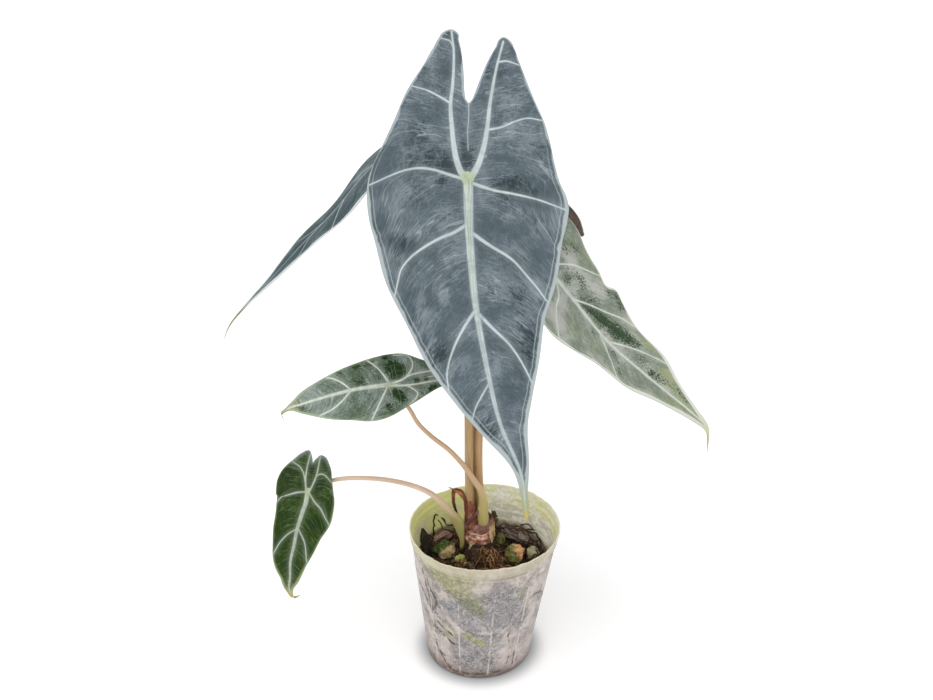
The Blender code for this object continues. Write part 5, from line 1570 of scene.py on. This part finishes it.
def thing(name, shape):
    """An object in the scene, from a bmesh."""
    mesh = bpy.data.meshes.new(name)
    shape.to_mesh(mesh)
    shape.free()
    made = bpy.data.objects.new(name, mesh)
    bpy.context.scene.collection.objects.link(made)
    return made


def disc(name, radius, depth, place, segments):
    """A round plate round a place."""
    shape = bmesh.new()
    bmesh.ops.create_cone(shape, cap_ends=True, segments=segments, radius1=radius, radius2=radius,
                          depth=depth, matrix=Matrix.Translation(place))
    return thing(name, shape)


def drained_floor():
    """Points and faces of the pot's floor plate with its drain holes."""
    plate = disc("floor_plate", BASE_RADIUS - 2.5, FLOOR, (0, 0, FLOOR / 2 + 0.01), 96)
    cutters = []
    for i in range(HOLE_COUNT):
        angle = 2 * math.pi * (i + 0.5) / HOLE_COUNT
        place = (HOLE_OUT * math.sin(angle), HOLE_OUT * math.cos(angle), 0)
        cutters.append(disc("hole", HOLE_RADIUS, 12, place, 32))
        modifier = plate.modifiers.new("hole", "BOOLEAN")
        modifier.solver = "EXACT"
        modifier.object = cutters[-1]
    done = plate.evaluated_get(bpy.context.evaluated_depsgraph_get()).to_mesh()
    done.calc_loop_triangles()
    points = [vertex.co[:] for vertex in done.vertices]
    faces = [list(triangle.vertices) for triangle in done.loop_triangles]
    for old in [plate] + cutters:
        bpy.data.objects.remove(old)
    return points, faces


def pot():
    """The thin tapered pot with its ribs, rim band, worn rim and drained floor."""
    angles = np.linspace(0, 2 * math.pi, 480, endpoint=False)
    step = 2 * math.pi / RIB_COUNT
    off = (angles - math.radians(RIB_FIRST) + step / 2) % step - step / 2
    on_rib = np.clip(1 - (off / math.radians(RIB_HALF_WIDTH))**2, 0, 1)
    ring = np.stack([9 * np.sin(angles), 9 * np.cos(angles), 0 * angles], -1)
    worn = 0.8 * crumble(ring, 0.9, 2.0) + 0.35 * crumble(ring, 3.0, 5.0) - 0.2
    foot = [(0, BASE_RADIUS - 1.2), (0.2, BASE_RADIUS - 0.6), (0.8, BASE_RADIUS), (2.0, BASE_RADIUS + 0.5)]
    heights = np.arange(BASE_ROUND, POT_HEIGHT - 0.4, 1.2)
    outside = foot + [(z, taper(z) + 0.6 * np.exp(-z / 8)) for z in heights]
    outside += [(POT_HEIGHT - 0.3, taper(POT_HEIGHT) - 0.1), (POT_HEIGHT, taper(POT_HEIGHT) - 0.4)]
    inside = [(POT_HEIGHT, taper(POT_HEIGHT) - WALL + 0.35), (POT_HEIGHT - 0.3, taper(POT_HEIGHT) - WALL)]
    inside += [(z, taper(z) - WALL) for z in np.arange(POT_HEIGHT - 1, FLOOR + BASE_ROUND, -2.0)]
    inside += [(FLOOR, BASE_RADIUS - 0.9 * BASE_ROUND), (FLOOR * 0.5, BASE_RADIUS - 1.0 * BASE_ROUND)]
    heap = Heap()
    for mark, profile in ((0, outside), (1, outside[-1:] + inside)):
        z, radius = np.array(profile).T
        ribbed = np.clip((z - RIB_BOTTOM + 3) / 3, 0, 1) * np.clip((RIB_TOP + 3 - z) / 3, 0, 1) * (1 - mark)
        rib = ribbed[:, None] * on_rib
        high = z[:, None] + worn[None] * np.clip((z[:, None] - POT_HEIGHT + 8) / 8, 0, 1)**3
        points = pot_point(angles[None], high, radius[:, None] + 0.6 * RIB_HEIGHT * rib)
        place, stain = wall_fields(angles, z)
        place[:, 2] = rib.ravel()
        heap.add(points, quads(len(z), len(angles), True)[:, ::-1], mark, wall=place, stain=stain)
    points, faces = drained_floor()
    heap.add(points, faces, 1, wall=(0, 60, 0), stain=(0, 0, 0))
    heap.make("pot_shell", [pot_outside(), pot_inside()], ("pot",), sharp=50)


def studio():
    """A pale floor with a painted contact shadow, soft light all round and from above, and the camera."""
    shape = bmesh.new()
    bmesh.ops.create_grid(shape, x_segments=1, y_segments=1, size=12)
    floor = thing("floor", shape)
    n = Nodes("floor_painted_shadow")
    # Painted contact shadow: where ambient occlusion finds things close by, the floor's colour turns grey and
    # its faint glow goes out.
    closed = n.add("AmbientOcclusion", {"Distance": 20 * MM}).outputs["AO"]
    paint = n.mix(n.rise(closed, 0.35, 0.95), (0.42, 0.435, 0.45), (0.95, 0.95, 0.952))
    n.shade({"Base Color": paint, "Roughness": 0.9, "Specular IOR Level": 0.0,
             "Emission Color": (1.0, 1.0, 1.0), "Emission Strength": n.rise(closed, 0.6, 1.0, 0.0, 0.13)})
    floor.data.materials.append(n.material)

    scene = bpy.context.scene
    world = bpy.data.worlds.new("studio")
    world.use_nodes = True
    background = world.node_tree.nodes["Background"]
    background.inputs["Color"].default_value = (1.0, 1.0, 1.0, 1.0)
    background.inputs["Strength"].default_value = 0.8
    scene.world = world
    for name, power, spread, turn in (("key", 1.0, 60, (30, 0, -30)), ("fill", 0.45, 90, (60, 0, 35))):
        light = bpy.data.lights.new(name, "SUN")
        light.energy = power
        light.angle = math.radians(spread)
        lamp = bpy.data.objects.new(name, light)
        lamp.rotation_euler = [math.radians(a) for a in turn]
        scene.collection.objects.link(lamp)

    camera = bpy.data.cameras.new("camera")
    camera.sensor_width = SENSOR
    camera.lens = FOCAL * SENSOR / IMAGE_WIDTH
    camera.clip_end = 30
    view = bpy.data.objects.new("camera", camera)
    view.location = [c * MM for c in CAMERA]
    view.rotation_euler = (math.radians(90 - PITCH), 0, 0)
    scene.collection.objects.link(view)
    scene.camera = view
    scene.view_settings.view_transform = "Standard"


# Blades: leaf, slot, step between points, quilting and thickness in millimetres, look and its name.
BLADES = {
    "front": (FRONT, "leaf", 1.2, 1.1, 0.8, SLATE, "slate"),
    "left": (LEFT, "leaf", 1.5, 0.9, 0.8, TEAL, "teal"),
    "right": (RIGHT, "leaf", 1.2, 0.9, 0.7, OLIVE, "olive"),
    "upper_small": (UPPER_SMALL, "young_leaf", 0.8, 0.6, 0.6, GREEN, "green"),
    "lower_small": (LOWER_SMALL, "young_leaf", 0.8, 0.6, 0.6, DEEP_GREEN, "deep_green"),
}

# Finishes of the stems, as stem_finish takes them.
STALKS = {
    "red": (rgb(142, 92, 76), rgb(186, 158, 112), rgb(190, 160, 118), rgb(146, 108, 74), 27, 8),
    "tan": (rgb(186, 168, 112), rgb(186, 152, 108), rgb(194, 164, 120), rgb(154, 116, 78), 36, 12),
    "pink": (rgb(188, 180, 112), rgb(200, 170, 136), rgb(222, 198, 172), rgb(176, 138, 106), 34, 14),
    "wedge": (rgb(172, 168, 102), rgb(214, 188, 164), rgb(228, 210, 192), rgb(176, 140, 112), 66, 16, 24),
}

# Stems: points, half width under the blade, finish.
STEMS = {
    "front": (STEM_FRONT, 2.0, "red"), "left": (STEM_LEFT, 1.8, "tan"), "right": (STEM_RIGHT, 1.5, "tan"),
    "upper_small": (STEM_UPPER_SMALL, 0.9, "pink"), "lower_small": (STEM_LOWER_SMALL, 0.9, "wedge"),
}


def plant():
    """The leaves with their stems, and the corm with its sheaths."""
    blades = {}
    for name, (leaf, slot, step, quilt, thick, look, skin) in BLADES.items():
        skins = [leaf_top(skin + "_top", look), leaf_below(skin + "_below", look)]
        blades[name] = blade("blade_" + name, leaf, step, quilt, thick, skins)
    finishes = {name: stem_finish("stalk_" + name, *look) for name, look in STALKS.items()}
    for name, (keys, end, finish) in STEMS.items():
        stem("petiole_" + name, keys, blades[name], end, finishes[finish])
    corm()
    collar()
    scales()
    dry_wrap()


plant()
soil()
chips()
roots()
fibres()
lumps()
strips()
pot()
studio()
